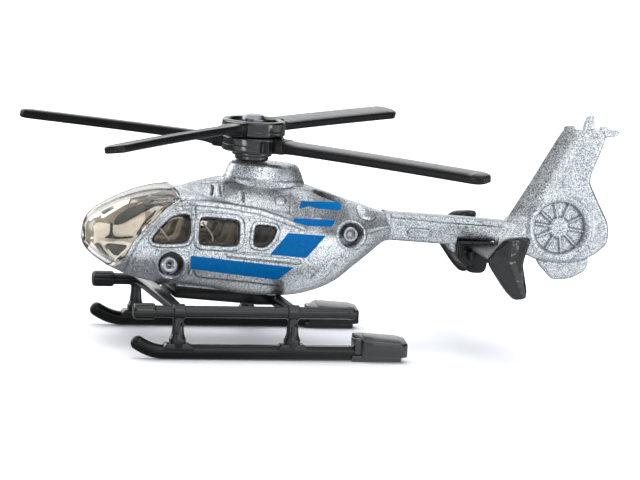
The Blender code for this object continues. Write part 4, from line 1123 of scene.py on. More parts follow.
# painted shade: a dark line at the flange crease and a darker band below it at the cowling's base
gz = np.repeat([max(0.6 * max(0.0, 1 - abs(z - 24.75) / 0.22), 0.34 * (z < 24.7))
                for _, z in prof], 120)
make("mast_cowling", (fr.reshape(-1, 3), ff), SILVER,
     replaces=["mast_fairing"], attrs={"groove": gz})

# ----------------------------------------------------------------- tail boom
bx = np.concatenate([np.linspace(20.2, 31.18, 90), [31.22], np.linspace(31.3, 37.58, 50),
                     [37.62], np.linspace(37.7, 40.2, 20)])
btop = np.interp(bx, [20.2, 29.7, 38.5, 40.2], [20.05, 19.55, 18.95, 18.85])
bbot = np.interp(bx, [20.2, 30.3, 31.2], [15.80, 15.18, 15.15])
bbot = np.where((bx > 31.2) & (bx < 37.6), 16.05 - 0.05 * (bx - 31.2), bbot)
bbot = np.where(bx >= 37.6, 14.9 - 0.1 * (bx - 37.6), bbot)
bhalf = 1.95 - 0.35 * (bx - 20.2) / 20.0
bhalf = bhalf * np.where(bx < 20.9, 1.12, 1.0)
lift = np.where(bx < 20.9, 0.12, 0.0)
ba = np.linspace(0, 2 * math.pi, 128, endpoint=False)
c_, s_ = np.cos(ba), np.sin(ba)
q_ = (np.abs(c_) ** 3.4 + np.abs(s_) ** 3.4) ** (-1 / 3.4)
zc_, hh_ = (btop + bbot) / 2, (btop - bbot) / 2 + lift
B = np.stack([np.broadcast_to(bx[:, None], (len(bx), 128)), bhalf[:, None] * (q_ * c_)[None],
              zc_[:, None] + hh_[:, None] * (q_ * s_)[None]], -1)
groove_z = np.interp(bx, [20.3, 29.3, 37.7], [19.30, 18.56, 18.03])
bd = B[..., 2] - groove_z[:, None]
on_side = (np.abs(B[..., 1]) > 0.7 * bhalf[:, None]) & (bx[:, None] > 21.0) & (bx[:, None] < 38.4)
gg = bell(bd, 0.16) * on_side
B[..., 1] -= np.sign(B[..., 1]) * 0.13 * gg
B[..., 1] -= np.sign(B[..., 1]) * 0.10 * np.clip(bd / 0.4, 0, 1) * on_side
oval = soften([(23.8, 16.5), (27.0, 16.4), (27.1, 17.35), (23.8, 17.5)], 3)
so = sdf(B[..., 0], B[..., 2], oval)
B[..., 1] += np.sign(B[..., 1]) * 0.22 * bell(so, 0.26) * on_side
# painted shade: the oval's outline is darker at its left and top
shaded = np.clip(0.60 + 0.45 * (B[..., 2] - 17.0) / 0.5 - 0.25 * (B[..., 0] - 25.4) / 1.7, 0.3, 1)
gb = np.maximum(0.85 * gg, 0.85 * bell(so - 0.26, 0.22) * shaded * on_side)
# painted shade: the whole side a little darker, more above the groove line
gb = np.maximum(gb, 0.12 + 0.12 * (bd > 0) * on_side)
# painted shade along the top of the boom
gb = np.maximum(gb, 0.50 * np.clip((B[..., 2] - btop[:, None] + 0.55) / 0.5, 0, 1))
bf = [tuple(q) for q in quads(len(bx), 128, close=True)]
bf += [tuple(range(128)), tuple(range((len(bx) - 1) * 128, len(bx) * 128))[::-1]]
lug = rprism([(30.25, 16.6), (31.3, 16.6), (31.35, 14.5), (31.05, 14.1), (30.75, 14.2),
              (30.2, 14.9)], -1.25, 1.25, 0.15, 2)
spigot = rbox(17.2, 21.4, -1.0, 1.0, 16.9, 18.7, 0.1)
boom = join((B.reshape(-1, 3), bf), lug, spigot)
gb = np.concatenate([gb.ravel(), np.zeros(len(boom[0]) - gb.size)])
make("tail_boom", boom, SILVER, replaces=["tail_boom_fin"],
     attrs={"groove": gb})

# ----------------------------------------------------------------- tail fin
FIN = soften([(38.6, 19.0), (38.94, 19.23), (42.4, 24.9), (45.81, 30.81), (46.49, 31.90),
              (47.1, 32.72), (53.25, 32.74), (53.44, 31.48), (52.95, 29.8), (51.45, 26.0),
              (51.3, 24.8), (52.62, 22.16), (54.28, 19.08), (54.60, 17.4), (54.40, 15.6),
              (52.66, 14.03), (50.8, 13.1), (48.24, 12.69), (45.4, 12.85), (43.73, 13.09),
              (42.2, 13.75), (38.9, 15.1)], 2)
SKEG = soften([(43.6, 13.8), (43.9, 12.6), (46.05, 10.35), (46.5, 10.13), (49.0, 10.25),
               (51.2, 11.35), (51.77, 12.6), (51.6, 14.0)], 2)
AERIAL = soften([(49.9, 32.2), (50.22, 33.49), (50.55, 34.5), (50.91, 34.83), (51.84, 34.76),
                 (51.9, 33.3), (52.0, 32.2)], 2)
ARM = soften([(52.0, 31.6), (52.3, 32.68), (55.3, 32.72), (55.80, 32.31), (55.66, 31.78),
              (53.6, 31.48)], 2)
KNOB = soften([(47.2, 32.3), (47.3, 33.2), (48.9, 33.25), (49.0, 32.3)], 2)
KNOB2 = soften([(52.6, 32.3), (52.8, 33.25), (53.9, 33.2), (54.0, 32.3)], 2)


FIN = FIN + np.array([0.18, -0.04])
SKEG = SKEG + np.array([0.15, -0.05])


def fin_relief(u, v, h):
    lead, _ = line_d(u, v, [(38.78, 18.7), (45.88, 30.6), (47.38, 33.0)])
    r = np.hypot(u - FAN[0], v - FAN[1])
    taper = 1.0 - 0.22 * np.clip((v - 20.0) / 12.0, 0, 1)
    h = h * taper
    bank = np.clip(lead / 2.6, 0, 1)
    h = np.minimum(h, 0.20 + 1.01 * (bank * (1.25 - 0.25 * bank))
                   + 2.0 * np.clip((19.6 - v) / 1.5, 0, 1))
    # broad shoulder behind the leading edge and the swept band above the fan
    h = h + 0.08 * bell(lead - 2.6, 1.2) * np.clip(h / 0.6, 0, 1)
    crease, s = line_d(u, v, [(40.2, 16.0), (43.2, 20.6), (46.6, 24.6), (51.0, 31.5)])
    h = h - 0.10 * step(-s, 2.2) * np.clip(h / 0.6, 0, 1) * (v > 20)
    tip, _ = line_d(u, v, [(48.9, 30.85), (53.6, 31.35)])
    h = h - 0.08 * bell(tip, 0.2)
    ring = h + 0.30 * bell(r - 4.55, 0.85)
    deep = 1.2 - 0.85
    bowl = deep + 0.0 * r
    hubtop = deep + 0.62 * np.sqrt(np.clip(1 - (r / 1.62) ** 2, 0, 1)) ** 0.7
    bowl = np.maximum(bowl, np.where(r < 1.6, hubtop, 0))
    a = np.arctan2(v - FAN[1], u - FAN[0])
    for deg in (103, 68, 27, -8, -46, -83, -121, -157, 171, 141):
        q = math.radians(deg)
        along = (u - FAN[0]) * math.cos(q) + (v - FAN[1]) * math.sin(q)
        off = np.abs(-(u - FAN[0]) * math.sin(q) + (v - FAN[1]) * math.cos(q))
        rib_h = deep + 0.50 * step(off - 0.20, 0.16) * (along > 0.8)
        bowl = np.maximum(bowl, rib_h)
    k = step(r - 3.86, 0.30)
    return ring * (1 - k) + np.minimum(bowl, ring) * k


def plate_attr(part, fn):
    v = part[0]
    return fn(v[:, 0], v[:, 1], v[:, 2])


def fin_dark(x, y, z):
    r = np.hypot(x - FAN[0], z - FAN[1])
    # painted shade in the creases round the shroud and the hub
    near_fan = np.maximum(0.55 * bell(r - 3.80, 0.26), 0.50 * bell(r - 1.66, 0.20))
    # painted shade on the right-hand side of the fan recess
    near_fan = np.maximum(near_fan, 0.42 * bell(r - 3.55, 0.45) * (x > FAN[0] + 1.0))
    # painted shade in the creases beside each spoke
    d = np.full(x.shape, 9.0)
    for deg in (103, 68, 27, -8, -46, -83, -121, -157, 171, 141):
        q = math.radians(deg)
        along = (x - FAN[0]) * math.cos(q) + (z - FAN[1]) * math.sin(q)
        off = np.abs(-(x - FAN[0]) * math.sin(q) + (z - FAN[1]) * math.cos(q))
        d = np.minimum(d, np.where((along > 1.5) & (along < 3.9), np.abs(off - 0.34), 9.0))
    lead, _ = line_d(x, z, [(38.78, 18.7), (45.88, 30.6), (47.38, 33.0)])
    to_rim = sdf(x, z, FIN)
    # painted shade along the rounded outline of the fin
    rim = 0.42 * np.clip(1 + to_rim / 0.42, 0, 1) * (z < 30.5) * (to_rim < 0.06)
    # painted shade: a dark band behind the leading edge, over a slight darkening of the whole fin
    lead_shade = 0.115 + 0.52 * np.clip(1 - lead / 3.1, 0, 1) ** 1.3 * np.clip((z - 17.6) / 1.5, 0, 1)
    return np.maximum.reduce([near_fan, 0.65 * bell(d, 0.13), lead_shade, rim * (lead > 0.6)])


fin = plate([(FIN, 1.2, 0.62), (SKEG, 0.62, 0.4), (AERIAL, 0.45, 0.35), (ARM, 0.5, 0.35),
             (KNOB, 0.5, 0.3), (KNOB2, 0.5, 0.3)], 0.105, fin_relief)
make("tail_fin", fin, SILVER, sharp=48.0,
     attrs={"groove": plate_attr(fin, fin_dark)})

# ---------------------------------------------------------------- stabiliser
wing = []
for y in np.linspace(-14.95, 14.95, 61):
    t = abs(y) / 14.95
    x0, x1 = 32.6 + 0.1 * t, 37.3 + 0.1 * t
    ring = []
    for k in range(36):
        a = 2 * math.pi * k / 36
        cx = 0.5 - 0.5 * math.cos(a)
        th = 0.55 * (math.sqrt(max(cx, 0)) * 1.55 - 1.1 * cx) * (1 if a <= math.pi else -0.8)
        ring.append((x0 + (x1 - x0) * cx, y, 15.05 + 0.55 * (1 - t) ** 2 * 0.3 + th
                     * (1.25 - 0.25 * t) + (0.12 if a <= math.pi else -0.06) * math.sin(a)))
    wing.append(ring)
wing = np.array(wing)
wf = [tuple(q) for q in quads(61, 36, close=True)]
wf += [tuple(range(36)), tuple(range(60 * 36, 61 * 36))[::-1]]
saddle = rprism([(31.35, 13.3), (31.35, 15.95), (36.6, 15.85), (37.0, 15.0), (36.3, 12.7),
                 (32.7, 12.35)], -2.3, 2.3, 0.35, 4)
step_block = rprism([(31.7, 12.9), (31.9, 14.6), (33.4, 14.6), (33.6, 12.5), (32.5, 12.2)],
                    -2.75, 2.75, 0.2, 3)
button = lathe(rounded([(0.05, -2.05), (1.0, -1.98), (1.45, -1.6), (1.62, -0.9), (1.72, 0.2),
                        (0.05, 0.25)], 0.3, 4), 48, (34.7, 0, 12.95))
rib_a = rprism([(33.4, 16.0), (33.6, 16.0), (33.7, 12.3), (33.5, 12.3)], -2.42, 2.42, 0.05, 2)
make("tail_wing", join((wing.reshape(-1, 3), wf), saddle, step_block, button, rib_a), BLACK,
     replaces=["stabiliser"])
PLATE = soften([(32.15, 14.95), (33.5, 16.9), (35.0, 18.5), (38.45, 18.62), (38.85, 18.0),
                (37.8, 14.7), (38.2, 12.6), (38.6, 10.7), (38.5, 9.45), (36.7, 9.15),
                (35.2, 10.6)], 2)


def end_relief(u, v, h):
    fold, _ = line_d(u, v, [(32.0, 14.8), (38.2, 14.7)])
    rise, _ = line_d(u, v, [(35.6, 18.3), (35.2, 14.8), (37.6, 9.4)])
    return h + (0.42 * bell(rise, 1.7) - 0.07 * bell(fold, 1.1)) * np.clip(h / 0.4, 0, 1)


for sgn, label in ((-1, "left"), (1, "right")):
    here = PLATE if sgn < 0 else PLATE + np.array([-0.40, -0.40])
    end = plate([(here, 0.58, 0.52)], 0.13, end_relief, y=sgn * 15.6)
    make("fin_plate_" + label, end, GLOSSY,
         replaces=["end_plate_" + label], sharp=50.0)

# ------------------------------------------------------------- undercarriage
for sgn, label in ((-1, "left"), (1, "right")):
    y = sgn * TRACK
    path, rad = [], []
    for k in range(19):
        t = k / 18.0
        path.append((-15.3 - 4.1 * (1 - t), y, 1.05 + 1.3 * (1 - t) ** 2))
        rad.append(1.05)
    d0 = np.array(path[0]) - np.array(path[1])
    d0 /= np.linalg.norm(d0)
    tip, tr = [], []
    for a in np.linspace(85, 8, 9):
        s = math.sin(math.radians(a))
        tip.append(tuple(np.array(path[0]) + d0 * 1.0 * s))
        tr.append(1.05 * math.cos(math.radians(a)))
    path = tip + path + [(x, y, 1.05) for x in np.linspace(-14.6, 13.4, 60)]
    rad = tr + rad + [1.05] * 60
    body = tube(path, rad, 40, 2.5, 0.94)
    # upper ledge along the skid
    ledge = rbox(-14.6, 12.5, y - 0.72, y + 0.72, 1.5, 2.17, 0.10, 2)
    make("skid_runner_" + label, join(body, ledge), BLACK,
         replaces=["skid_" + label])

    outer_y, inner_y = sgn * (TRACK + 2.2), sgn * (TRACK - 2.2)
    plan = [(12.85, inner_y), (12.85, sgn * (TRACK - 0.1)), (14.3, outer_y), (20.65, outer_y),
            (20.65, inner_y)]
    ring = soften(plan, 1)

    def slant(part, low, high):
        v = part[0].copy()
        k = np.clip((v[:, 2] - low) / (high - low), 0, 1)
        v[:, 2] += k * (0.20 * (v[:, 1] - y) - 0.55 * (v[:, 0] - 12.6) / 8.1)
        return v, part[1]

    heel = slant(rprism([tuple(q) for q in ring], 0.72, 3.62, 0.26, 4, plane="xy"), 0.75, 3.3)
    inset = [(14.3, y - 1.25), (14.3, y + 1.55), (19.7, y + 1.55), (19.7, y - 1.25)]
    pad = slant(rprism(inset, 3.3, 3.74, 0.10, 3, plane="xy"), 0.75, 3.3)
    heel = join(heel, pad)
    sole = rprism([(12.3, y - 1.35), (12.3, y + 1.35), (19.6, y + 1.35), (19.9, y + 1.0),
                   (19.9, y - 1.0), (19.6, y - 1.35)], 0.0, 0.95, 0.15, 2, plane="xy")
    nib = rbox(12.75, 13.8, y - 1.2, y + 1.6, 1.0, 3.4, 0.2, 3)
    make("heel_" + label, join(heel, sole, nib), HEEL,
         replaces=["heel_block_" + label], sharp=40.0)

    prof = [(0.05, -20.25), (0.95, -20.22), (1.16, -20.02), (1.20, -19.7), (1.20, -18.0),
            (1.20, -17.35), (1.13, -17.12), (1.0, -17.05), (0.90, -17.0), (0.875, -16.6),
            (0.875, 11.7), (0.90, 11.78), (0.95, 11.9), (0.95, 12.4), (0.80, 12.68),
            (0.5, 12.78), (0.05, 12.8)]
    bar = lathe(rounded(prof, 0.12, 3), 44, (0, y, RAIL_Z), (1, 0, 0))
    flash = join(rbox(-17.2, 12.2, y - 0.90, y + 0.90, RAIL_Z - 0.46, RAIL_Z - 0.34, 0.04, 2),
                 rbox(-17.2, 12.2, y - 0.86, y + 0.86, RAIL_Z + 0.28, RAIL_Z + 0.38, 0.04, 2))
    make("step_bar_" + label, join(bar, flash), BAR,
         replaces=["step_rail_" + label])

    for sx, place in zip(STRUT_X, ("front", "rear")):
        prof = [(0.8, 7.0), (0.78, 6.0), (0.80, 5.1), (0.88, 4.2), (0.96, 3.62), (1.04, 3.50),
                (1.06, 3.30), (1.20, 3.16), (1.24, 2.9), (1.24, 2.5), (1.18, 2.1), (1.12, 1.7)]
        post = lathe(rounded(prof, 0.1, 3), 44, (sx, y, 0))
        ringed = lathe(rounded([(0.6, -0.9), (1.02, -0.9), (1.14, -0.78), (1.14, 0.78),
                                (1.02, 0.9), (0.6, 0.9)], 0.08, 3), 44, (sx, y, RAIL_Z),
                       (1, 0, 0))
        foot = rprism([(sx - 2.3, 1.75), (sx - 1.7, 2.42), (sx + 1.7, 2.42), (sx + 2.3, 1.75),
                       (sx + 2.3, 1.4), (sx - 2.3, 1.4)], y - 1.03, y + 1.03, 0.14, 3)
        bead = lathe([(0.28, -0.3), (0.28, 0.0), (0.2, 0.12), (0.05, 0.16)], 20,
                     (sx + 0.55, y - sgn * -0.86, 5.2), (0, sgn, 0))
        make("strut_%s_%s_post" % (place, label), join(post, ringed, foot, bead), BAR,
             replaces=["strut_%s_%s" % (place, label)])

reach = TRACK - 1.15
for sx, name in zip(STRUT_X, ("front", "rear")):
    rings = []
    for y in np.linspace(-reach, reach, 81):
        u = abs(y) / reach
        half = 1.15 - 0.3 * u
        mid_z = 7.15 + (0.25 if sx < 0 else -0.15) * (1 - u * u)
        outline = [(-half, -0.35), (-half, 0.42), (-half + 0.42, 0.80), (half - 0.42, 0.80),
                   (half, 0.42), (half, -0.35), (half - 0.35, -0.70), (-half + 0.35, -0.70)]
        o = soften(outline, 2)
        rings.append([(sx + a, y, mid_z + b) for a, b in o])
    rings = np.array(rings)
    m_ = rings.shape[1]
    rf = [tuple(q) for q in quads(81, m_, close=True)]
    rf += [tuple(range(m_)), tuple(range(80 * m_, 81 * m_))[::-1]]
    make(name + "_cross_arm", (rings.reshape(-1, 3), rf), BLACK,
         replaces=[name + "_cross_bar"])

belly = rprism([(-11.9, 7.35), (-12.1, 8.2), (-11.9, 10.0), (2.8, 9.4), (3.0, 7.2), (2.8, 6.42),
                (0.5, 6.42), (-2.0, 6.65)], -5.0, 5.0, 0.22, 3)
peg = lathe(rounded([(0.05, -0.55), (0.9, -0.55), (1.2, -0.2), (1.25, 0.3), (0.05, 0.4)], 0.15,
                    3), 36, (0.6, 0, 6.35))
make("belly_pan", join(belly, peg), BLACK, replaces=["belly_plate"])


# --------------------------------------------------------------- mast, rotors
def on_mast(part, azimuth=0.0):
    a = math.radians(azimuth)
    rz = np.array([[math.cos(a), -math.sin(a), 0], [math.sin(a), math.cos(a), 0], [0, 0, 1]])
    c, s = math.cos(TILT), math.sin(TILT)
    ry = np.array([[c, 0, s], [0, 1, 0], [-s, 0, c]])
    return move(part, ry @ rz, HUB)


pin = lathe(rounded([(0.3, -7.4), (0.98, -7.2), (0.98, 1.88), (1.84, 1.90), (1.88, 2.04),
                     (1.84, 2.45), (1.74, 2.62), (1.40, 2.96), (1.15, 3.06), (0.05, 3.08)],
                    0.14, 5), 72)
make("mast_pin_head", on_mast(pin), PIN_STEEL, replaces=["mast_pin"])
collar = lathe(rounded([(1.06, -3.72), (2.3, -3.72), (2.5, -3.5), (2.5, -3.05), (2.55, -2.98),
                        (2.92, -2.94), (2.95, -2.6), (2.9, -2.42), (1.06, -2.42)], 0.08, 3), 64,
               bored=True)
make("mast_collar", on_mast(collar), BLACK_HUB, replaces=["rotor_collar"])


def blade(z_mid, thick_out, pitch_deg, tip, droop):
    """One blade along +X of its rotor, drooping a little towards the tip."""
    stations_r = np.concatenate([np.linspace(3.4, 9.0, 24), np.linspace(9.6, tip - 2.0, 40),
                                 tip - 2.0 * (1 - np.sin(np.linspace(0, math.pi / 2, 12)))])
    rows_ = []
    for r in stations_r:
        f = np.clip((r - 4.6) / 3.8, 0, 1)
        f = f * f * (3 - 2 * f)
        chord = 3.0 + 0.6 * f
        thick = 2.05 + (thick_out - 2.05) * f
        pitch = math.radians(pitch_deg * f)
        if r > tip - 2.0:
            k = math.sqrt(max(1 - ((r - tip + 2.0) / 2.0) ** 2, 0.0))
            chord = 3.6 * (0.34 + 0.66 * k)
            thick = thick_out * (0.62 + 0.38 * k)
        a = np.linspace(0, 2 * math.pi, 44, endpoint=False)
        c, s = np.cos(a), np.sin(a)
        n = 5.5
        q = (np.abs(c) ** n + np.abs(s) ** n) ** (-1 / n)
        u, v = 0.5 * chord * q * c, 0.5 * thick * q * s
        v = v + 0.09 * f * (1 - (u / (0.5 * chord)) ** 2) * (v > 0)
        sag = droop * max(0.0, (r - 5.0) / (tip - 5.0)) ** 1.6
        rows_.append(np.stack([np.full(44, r), u * math.cos(pitch) - v * math.sin(pitch),
                               z_mid - sag + u * math.sin(pitch) + v * math.cos(pitch)], -1))
    rows_ = np.array(rows_)
    f = [tuple(q) for q in quads(len(rows_), 44, close=True)]
    f += [tuple(range(44)), tuple(range((len(rows_) - 1) * 44, len(rows_) * 44))[::-1]]
    return rows_.reshape(-1, 3), f


HALF_TURN = np.array([[-1.0, 0, 0], [0, -1, 0], [0, 0, 1]])
for name, z0, z1, az in (("lower", -2.34, -0.05, LOWER_AZ), ("upper", 0.05, 2.34, UPPER_AZ)):
    mid_z = (z0 + z1) / 2
    if name == "upper":
        prof = [(1.07, z0), (4.45, z0), (4.68, z0 + 0.2), (4.70, z0 + 0.75), (4.64, z0 + 0.82),
                (4.70, z0 + 0.90), (4.70, z1 - 0.25), (4.5, z1 - 0.02), (4.0, z1 + 0.0),
                (3.75, z1 - 0.12), (3.62, z1 - 0.5), (1.07, z1 - 0.5)]
    else:
        prof = [(1.07, z0), (4.35, z0), (4.62, z0 + 0.25), (4.64, z0 + 1.0), (4.58, z0 + 1.06),
                (4.64, z0 + 1.12), (4.66, z1 - 0.2), (4.45, z1), (1.07, z1)]
    disc = lathe(rounded(prof, 0.09, 3), 96, bored=True)
    if name == "upper":
        items = [disc, blade(mid_z, 1.22, 10.0, 40.4, 0.35),
                 move(blade(mid_z, 1.22, 10.0, 39.5, 0.85), HALF_TURN)]
    else:
        items = [disc, blade(mid_z, 1.42, 6.5, 39.9, 0.60),
                 move(blade(mid_z, 1.42, 6.5, 40.4, 0.38), HALF_TURN)]
    # squared root blocks, and on the lower rotor the small lug beside each root
    for k in (0, 1):
        turn = HALF_TURN if k else np.eye(3)
        root = rbox(2.6, 6.1, -1.62, 1.62, z0 + 0.12, z1 - 0.12, 0.22, 3)
        items.append(move(root, turn))
        if name == "lower":
            a = math.radians(-34)
            lug_ = lathe(rounded([(0.05, -0.85), (0.85, -0.85), (0.95, -0.7), (0.95, 0.7),
                                  (0.85, 0.85), (0.05, 0.85)], 0.12, 3), 32,
                         (4.3 * math.cos(a), 4.3 * math.sin(a), mid_z - 0.1))
            items.append(move(lug_, turn))
    make("rotor_%s_blades" % name, join(*[on_mast(p, az) for p in items[1:]]),
         BLADE, body=name + "_rotor", replaces=["rotor_" + name])
    make("rotor_%s_disc" % name, on_mast(items[0], az), BLACK_HUB, body=name + "_rotor",
         replaces=["rotor_" + name])

# --------------------------------------------------------------- studio
fm = Nodes("pale_floor")
fm.plug(fm.ramp(fm.noise(60.0, 3.0), [(0.3, (0.88, 0.885, 0.90)), (0.7, (0.91, 0.915, 0.925))]),
        fm.bsdf.inputs["Base Color"])
fm.plug(fm.fit(fm.noise(900.0, 2.0), 0.55, 0.7), fm.bsdf.inputs["Roughness"])
fm.bsdf.inputs["Specular IOR Level"].default_value = 0.2
fm.bsdf.inputs["Emission Color"].default_value = (0.97, 0.985, 1.0, 1.0)
spot = fm.node("ShaderNodeSeparateXYZ", {0: fm.coord})


def ease(value, a, b, lo, hi):
    return fm.node("ShaderNodeMapRange", {"Value": value, "From Min": a, "From Max": b,
                                          "To Min": lo, "To Max": hi},
                   interpolation_type="SMOOTHSTEP").outputs["Result"]


# painted shadow on the floor: the wide soft shade that a small object throws on a pale table,
# darkening the floor colour and its glow
shade = fm.math("MULTIPLY", ease(spot.outputs["Y"], -0.036, -0.016, 0.0, 1.0),
                ease(spot.outputs["Y"], 0.020, 0.062, 1.0, 0.0))
shade = fm.math("MULTIPLY", shade, ease(spot.outputs["X"], -0.052, -0.026, 0.0, 1.0))
shade = fm.math("MULTIPLY", shade, ease(spot.outputs["X"], 0.014, 0.060, 1.0, 0.0))
fm.plug(fm.mix(fm.math("MULTIPLY", shade, 0.85),
               fm.ramp(fm.noise(60.0, 3.0), [(0.3, (0.88, 0.885, 0.90)),
                                             (0.7, (0.91, 0.915, 0.925))]),
               fm.ramp(fm.noise(85.0, 3.0), [(0.3, (0.68, 0.695, 0.735)),
                                             (0.7, (0.72, 0.735, 0.775))])),
        fm.bsdf.inputs["Base Color"])
# the floor glows, less inside the painted shadow
fm.plug(fm.math("SUBTRACT", 0.30, fm.math("MULTIPLY", shade, 0.24)),
        fm.bsdf.inputs["Emission Strength"])
# painted light: for reflections the floor glows, dim close to the model and bright in front of it
where = fm.node("ShaderNodeSeparateXYZ", {0: fm.coord})
reach = fm.math("SUBTRACT", where.outputs["Y"],
                fm.math("MULTIPLY", fm.math("MAXIMUM", where.outputs["X"], 0.0), 0.35))
ahead = fm.node("ShaderNodeMapRange", {"Value": reach, "From Min": -0.048,
                                       "From Max": -0.013, "To Min": 1.14, "To Max": 0.27},
                interpolation_type="SMOOTHSTEP").outputs["Result"]
# two narrow bands of painted glow on the floor, standing in for strip lights, met only by
# reflections off the tallest parts
side_of = fm.math("ARCTAN2", where.outputs["X"],
                  fm.math("MULTIPLY", where.outputs["Y"], -1.0))
away = fm.node("ShaderNodeVectorMath", {0: fm.coord}, operation="LENGTH").outputs["Value"]
strip_glow = fm.math("ADD",
                 ease(fm.math("ABSOLUTE", fm.math("SUBTRACT", side_of, 0.86)),
                      0.05, 0.17, 6.0, 0.0),
                 ease(fm.math("ABSOLUTE", fm.math("ADD", side_of, 0.80)),
                      0.05, 0.17, 5.5, 0.0))
strip_glow = fm.math("MULTIPLY", strip_glow, ease(away, 0.11, 0.16, 0.0, 1.0))
near_ = fm.math("MULTIPLY", ease(where.outputs["X"], -0.029, 0.003, 0.26, 0.92),
                ease(where.outputs["Y"], -0.004, 0.006, 1.0, 0.28))
ahead = fm.math("MAXIMUM", fm.math("MULTIPLY", ahead, ease(where.outputs["Y"], -0.17, -0.09,
                                                           0.78, 1.0)), near_)
glow = fm.node("ShaderNodeEmission", {"Color": rgb(0.94, 0.97, 1.0),
                                      "Strength": fm.math("ADD", ahead, strip_glow)})
ray = fm.node("ShaderNodeLightPath")
seen = fm.math("MAXIMUM", ray.outputs["Is Camera Ray"], ray.outputs["Is Transmission Ray"])
pick = fm.node("ShaderNodeMixShader", {0: seen, 1: glow.outputs[0],
                                       2: fm.bsdf.outputs["BSDF"]})
fm.tree.links.new(pick.outputs[0], fm.out.inputs["Surface"])
me = bpy.data.meshes.new("floor")
me.from_pydata([(-4, -4, 0), (4, -4, 0), (4, 4, 0), (-4, 4, 0)], [], [(0, 1, 2, 3)])
me.materials.append(fm.mat)
floor = bpy.data.objects.new("floor", me)
bpy.context.scene.collection.objects.link(floor)
floor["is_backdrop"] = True

world = bpy.data.worlds.new("studio")
bpy.context.scene.world = world
world.use_nodes = True
wtree = world.node_tree


def wnode(kind, inputs=None, **props):
    n = wtree.nodes.new(kind)
    for key, value in props.items():
        setattr(n, key, value)
    for key, value in (inputs or {}).items():
        if isinstance(value, bpy.types.NodeSocket):
            wtree.links.new(value, n.inputs[key])
        else:
            n.inputs[key].default_value = value
    return n


def wmath(op, a, b=0.0):
    return wnode("ShaderNodeMath", {0: a, 1: b}, operation=op).outputs[0]


def wfit(value, a, b, lo, hi):
    return wnode("ShaderNodeMapRange", {"Value": value, "From Min": a, "From Max": b,
                                        "To Min": lo, "To Max": hi},
                 interpolation_type="SMOOTHSTEP").outputs["Result"]


# soft boxes in front and above, dark flags left and right, bright card high behind
way = wnode("ShaderNodeSeparateXYZ", {0: wnode("ShaderNodeTexCoord").outputs["Generated"]})
turn = wmath("ARCTAN2", way.outputs["X"], wmath("MULTIPLY", way.outputs["Y"], -1.0))
round_ = wmath("ADD", wmath("MULTIPLY", turn, 0.5 / math.pi), 0.5)
band = wnode("ShaderNodeValToRGB", {"Fac": round_})
stops = [(0.0, 0.62), (0.11, 0.62), (0.145, 1.0), (0.165, 1.0), (0.20, 0.13), (0.315, 0.13),
         (0.328, 0.80), (0.342, 0.80), (0.355, 0.15), (0.405, 0.17), (0.44, 0.26), (0.475, 0.60),
         (0.50, 0.66), (0.60, 0.70), (0.64, 1.1), (0.700, 1.1), (0.714, 0.02), (0.91, 0.02),
         (1.0, 0.60)]
while len(band.color_ramp.elements) < len(stops):
    band.color_ramp.elements.new(0.5)
for el, (pos, value) in zip(band.color_ramp.elements, stops):
    el.position, el.color = pos, (value, value * 1.01, value * 1.02, 1.0)
level = wmath("MULTIPLY", band.outputs["Color"], 1.55)
behind = wfit(wmath("ABSOLUTE", turn), 2.0, 2.45, 0.0, 1.0)
low_down = wfit(way.outputs["Z"], 0.02, 0.11, 1.0, 0.0)
level = wmath("MULTIPLY", level, wmath("SUBTRACT", 1.0, wmath("MULTIPLY", wmath(
    "MULTIPLY", behind, low_down), 0.80)))
card = wmath("MULTIPLY", behind, wfit(way.outputs["Z"], 0.07, 0.20, 0.0, 1.2))
level = wmath("ADD", level, card)
high = wfit(way.outputs["Z"], 0.55, 0.82, 0.0, 1.0)
level = wmath("ADD", wmath("MULTIPLY", level, wmath("SUBTRACT", 1.0, high)),
              wmath("MULTIPLY", high, 1.35))
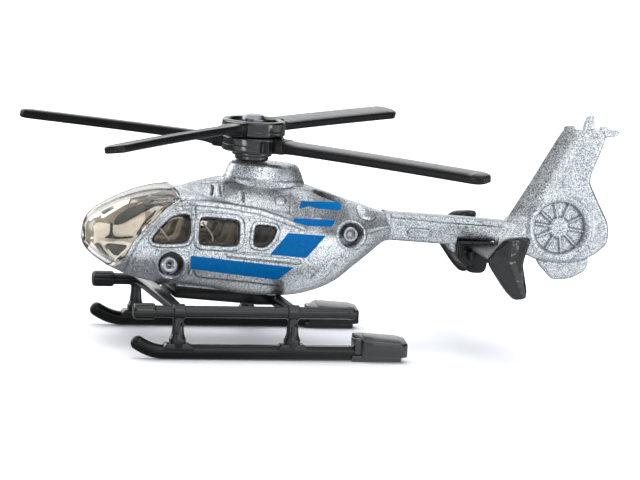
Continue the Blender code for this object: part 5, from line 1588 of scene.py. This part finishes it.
right_high = wmath("MULTIPLY", wmath("MULTIPLY", wfit(turn, 0.74, 0.98, 0.0, 1.0),
                                     wfit(turn, 2.35, 2.75, 1.0, 0.0)),
                   wmath("MULTIPLY", wfit(way.outputs["Z"], 0.20, 0.38, 0.0, 1.0),
                         wfit(way.outputs["Z"], 0.64, 0.86, 1.0, 0.0)))
level = wmath("MULTIPLY", level, wmath("SUBTRACT", 1.0, wmath("MULTIPLY", right_high, 0.95)))
ray_ = wnode("ShaderNodeLightPath")
seen_ = wmath("MAXIMUM", ray_.outputs["Is Camera Ray"], wmath(
    "MULTIPLY", ray_.outputs["Is Transmission Ray"], 0.9))
level = wmath("ADD", wmath("MULTIPLY", level, wmath("SUBTRACT", 1.0, seen_)), seen_)
wtree.links.new(level, wtree.nodes["Background"].inputs["Strength"])
wtree.nodes["Background"].inputs["Color"].default_value = (0.98, 0.99, 1.0, 1.0)


def area(name, loc, target, size, power, colour=(1, 1, 1), size_y=None):
    light = bpy.data.lights.new(name, "AREA")
    light.shape = "RECTANGLE"
    light.size = size
    light.size_y = size_y or size
    light.energy = power
    light.color = colour
    obj = bpy.data.objects.new(name, light)
    obj.location = loc
    obj.rotation_euler = (Vector(target) - Vector(loc)).to_track_quat("-Z", "Y").to_euler()
    bpy.context.scene.collection.objects.link(obj)
    return obj


key_light = area("overhead_softbox", (0.02, 0.06, 0.60), (0, 0, 0.0), 0.42, 2.3)
key_light.visible_glossy = False
area("left_softbox", (-0.55, 0.34, 0.20), (0, 0, 0.02), 0.16, 0.5, size_y=0.26)
area("front_softbox", (0.10, -0.75, 0.40), (0, 0, 0.02), 0.35, 0.5)

cam_data = bpy.data.cameras.new("camera")
cam = bpy.data.objects.new("camera", cam_data)
bpy.context.scene.collection.objects.link(cam)
cam_data.sensor_width = 36.0
cam_data.lens = 6750.0 / 640.0 * 36.0
cam_data.clip_start, cam_data.clip_end = 0.01, 50.0
right = Vector((0.97477, -0.21864, 0.04493)).normalized()
back = Vector((-0.22282, -0.96512, 0.13744)).normalized()
up = back.cross(right).normalized()
right = up.cross(back).normalized()
m4 = Matrix((right, up, back)).transposed().to_4x4()
m4.translation = Vector((-0.22481, -0.96512, 0.15295))
cam.matrix_world = m4
bpy.context.scene.camera = cam
bpy.context.scene.view_settings.view_transform = "Standard"

low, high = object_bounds()
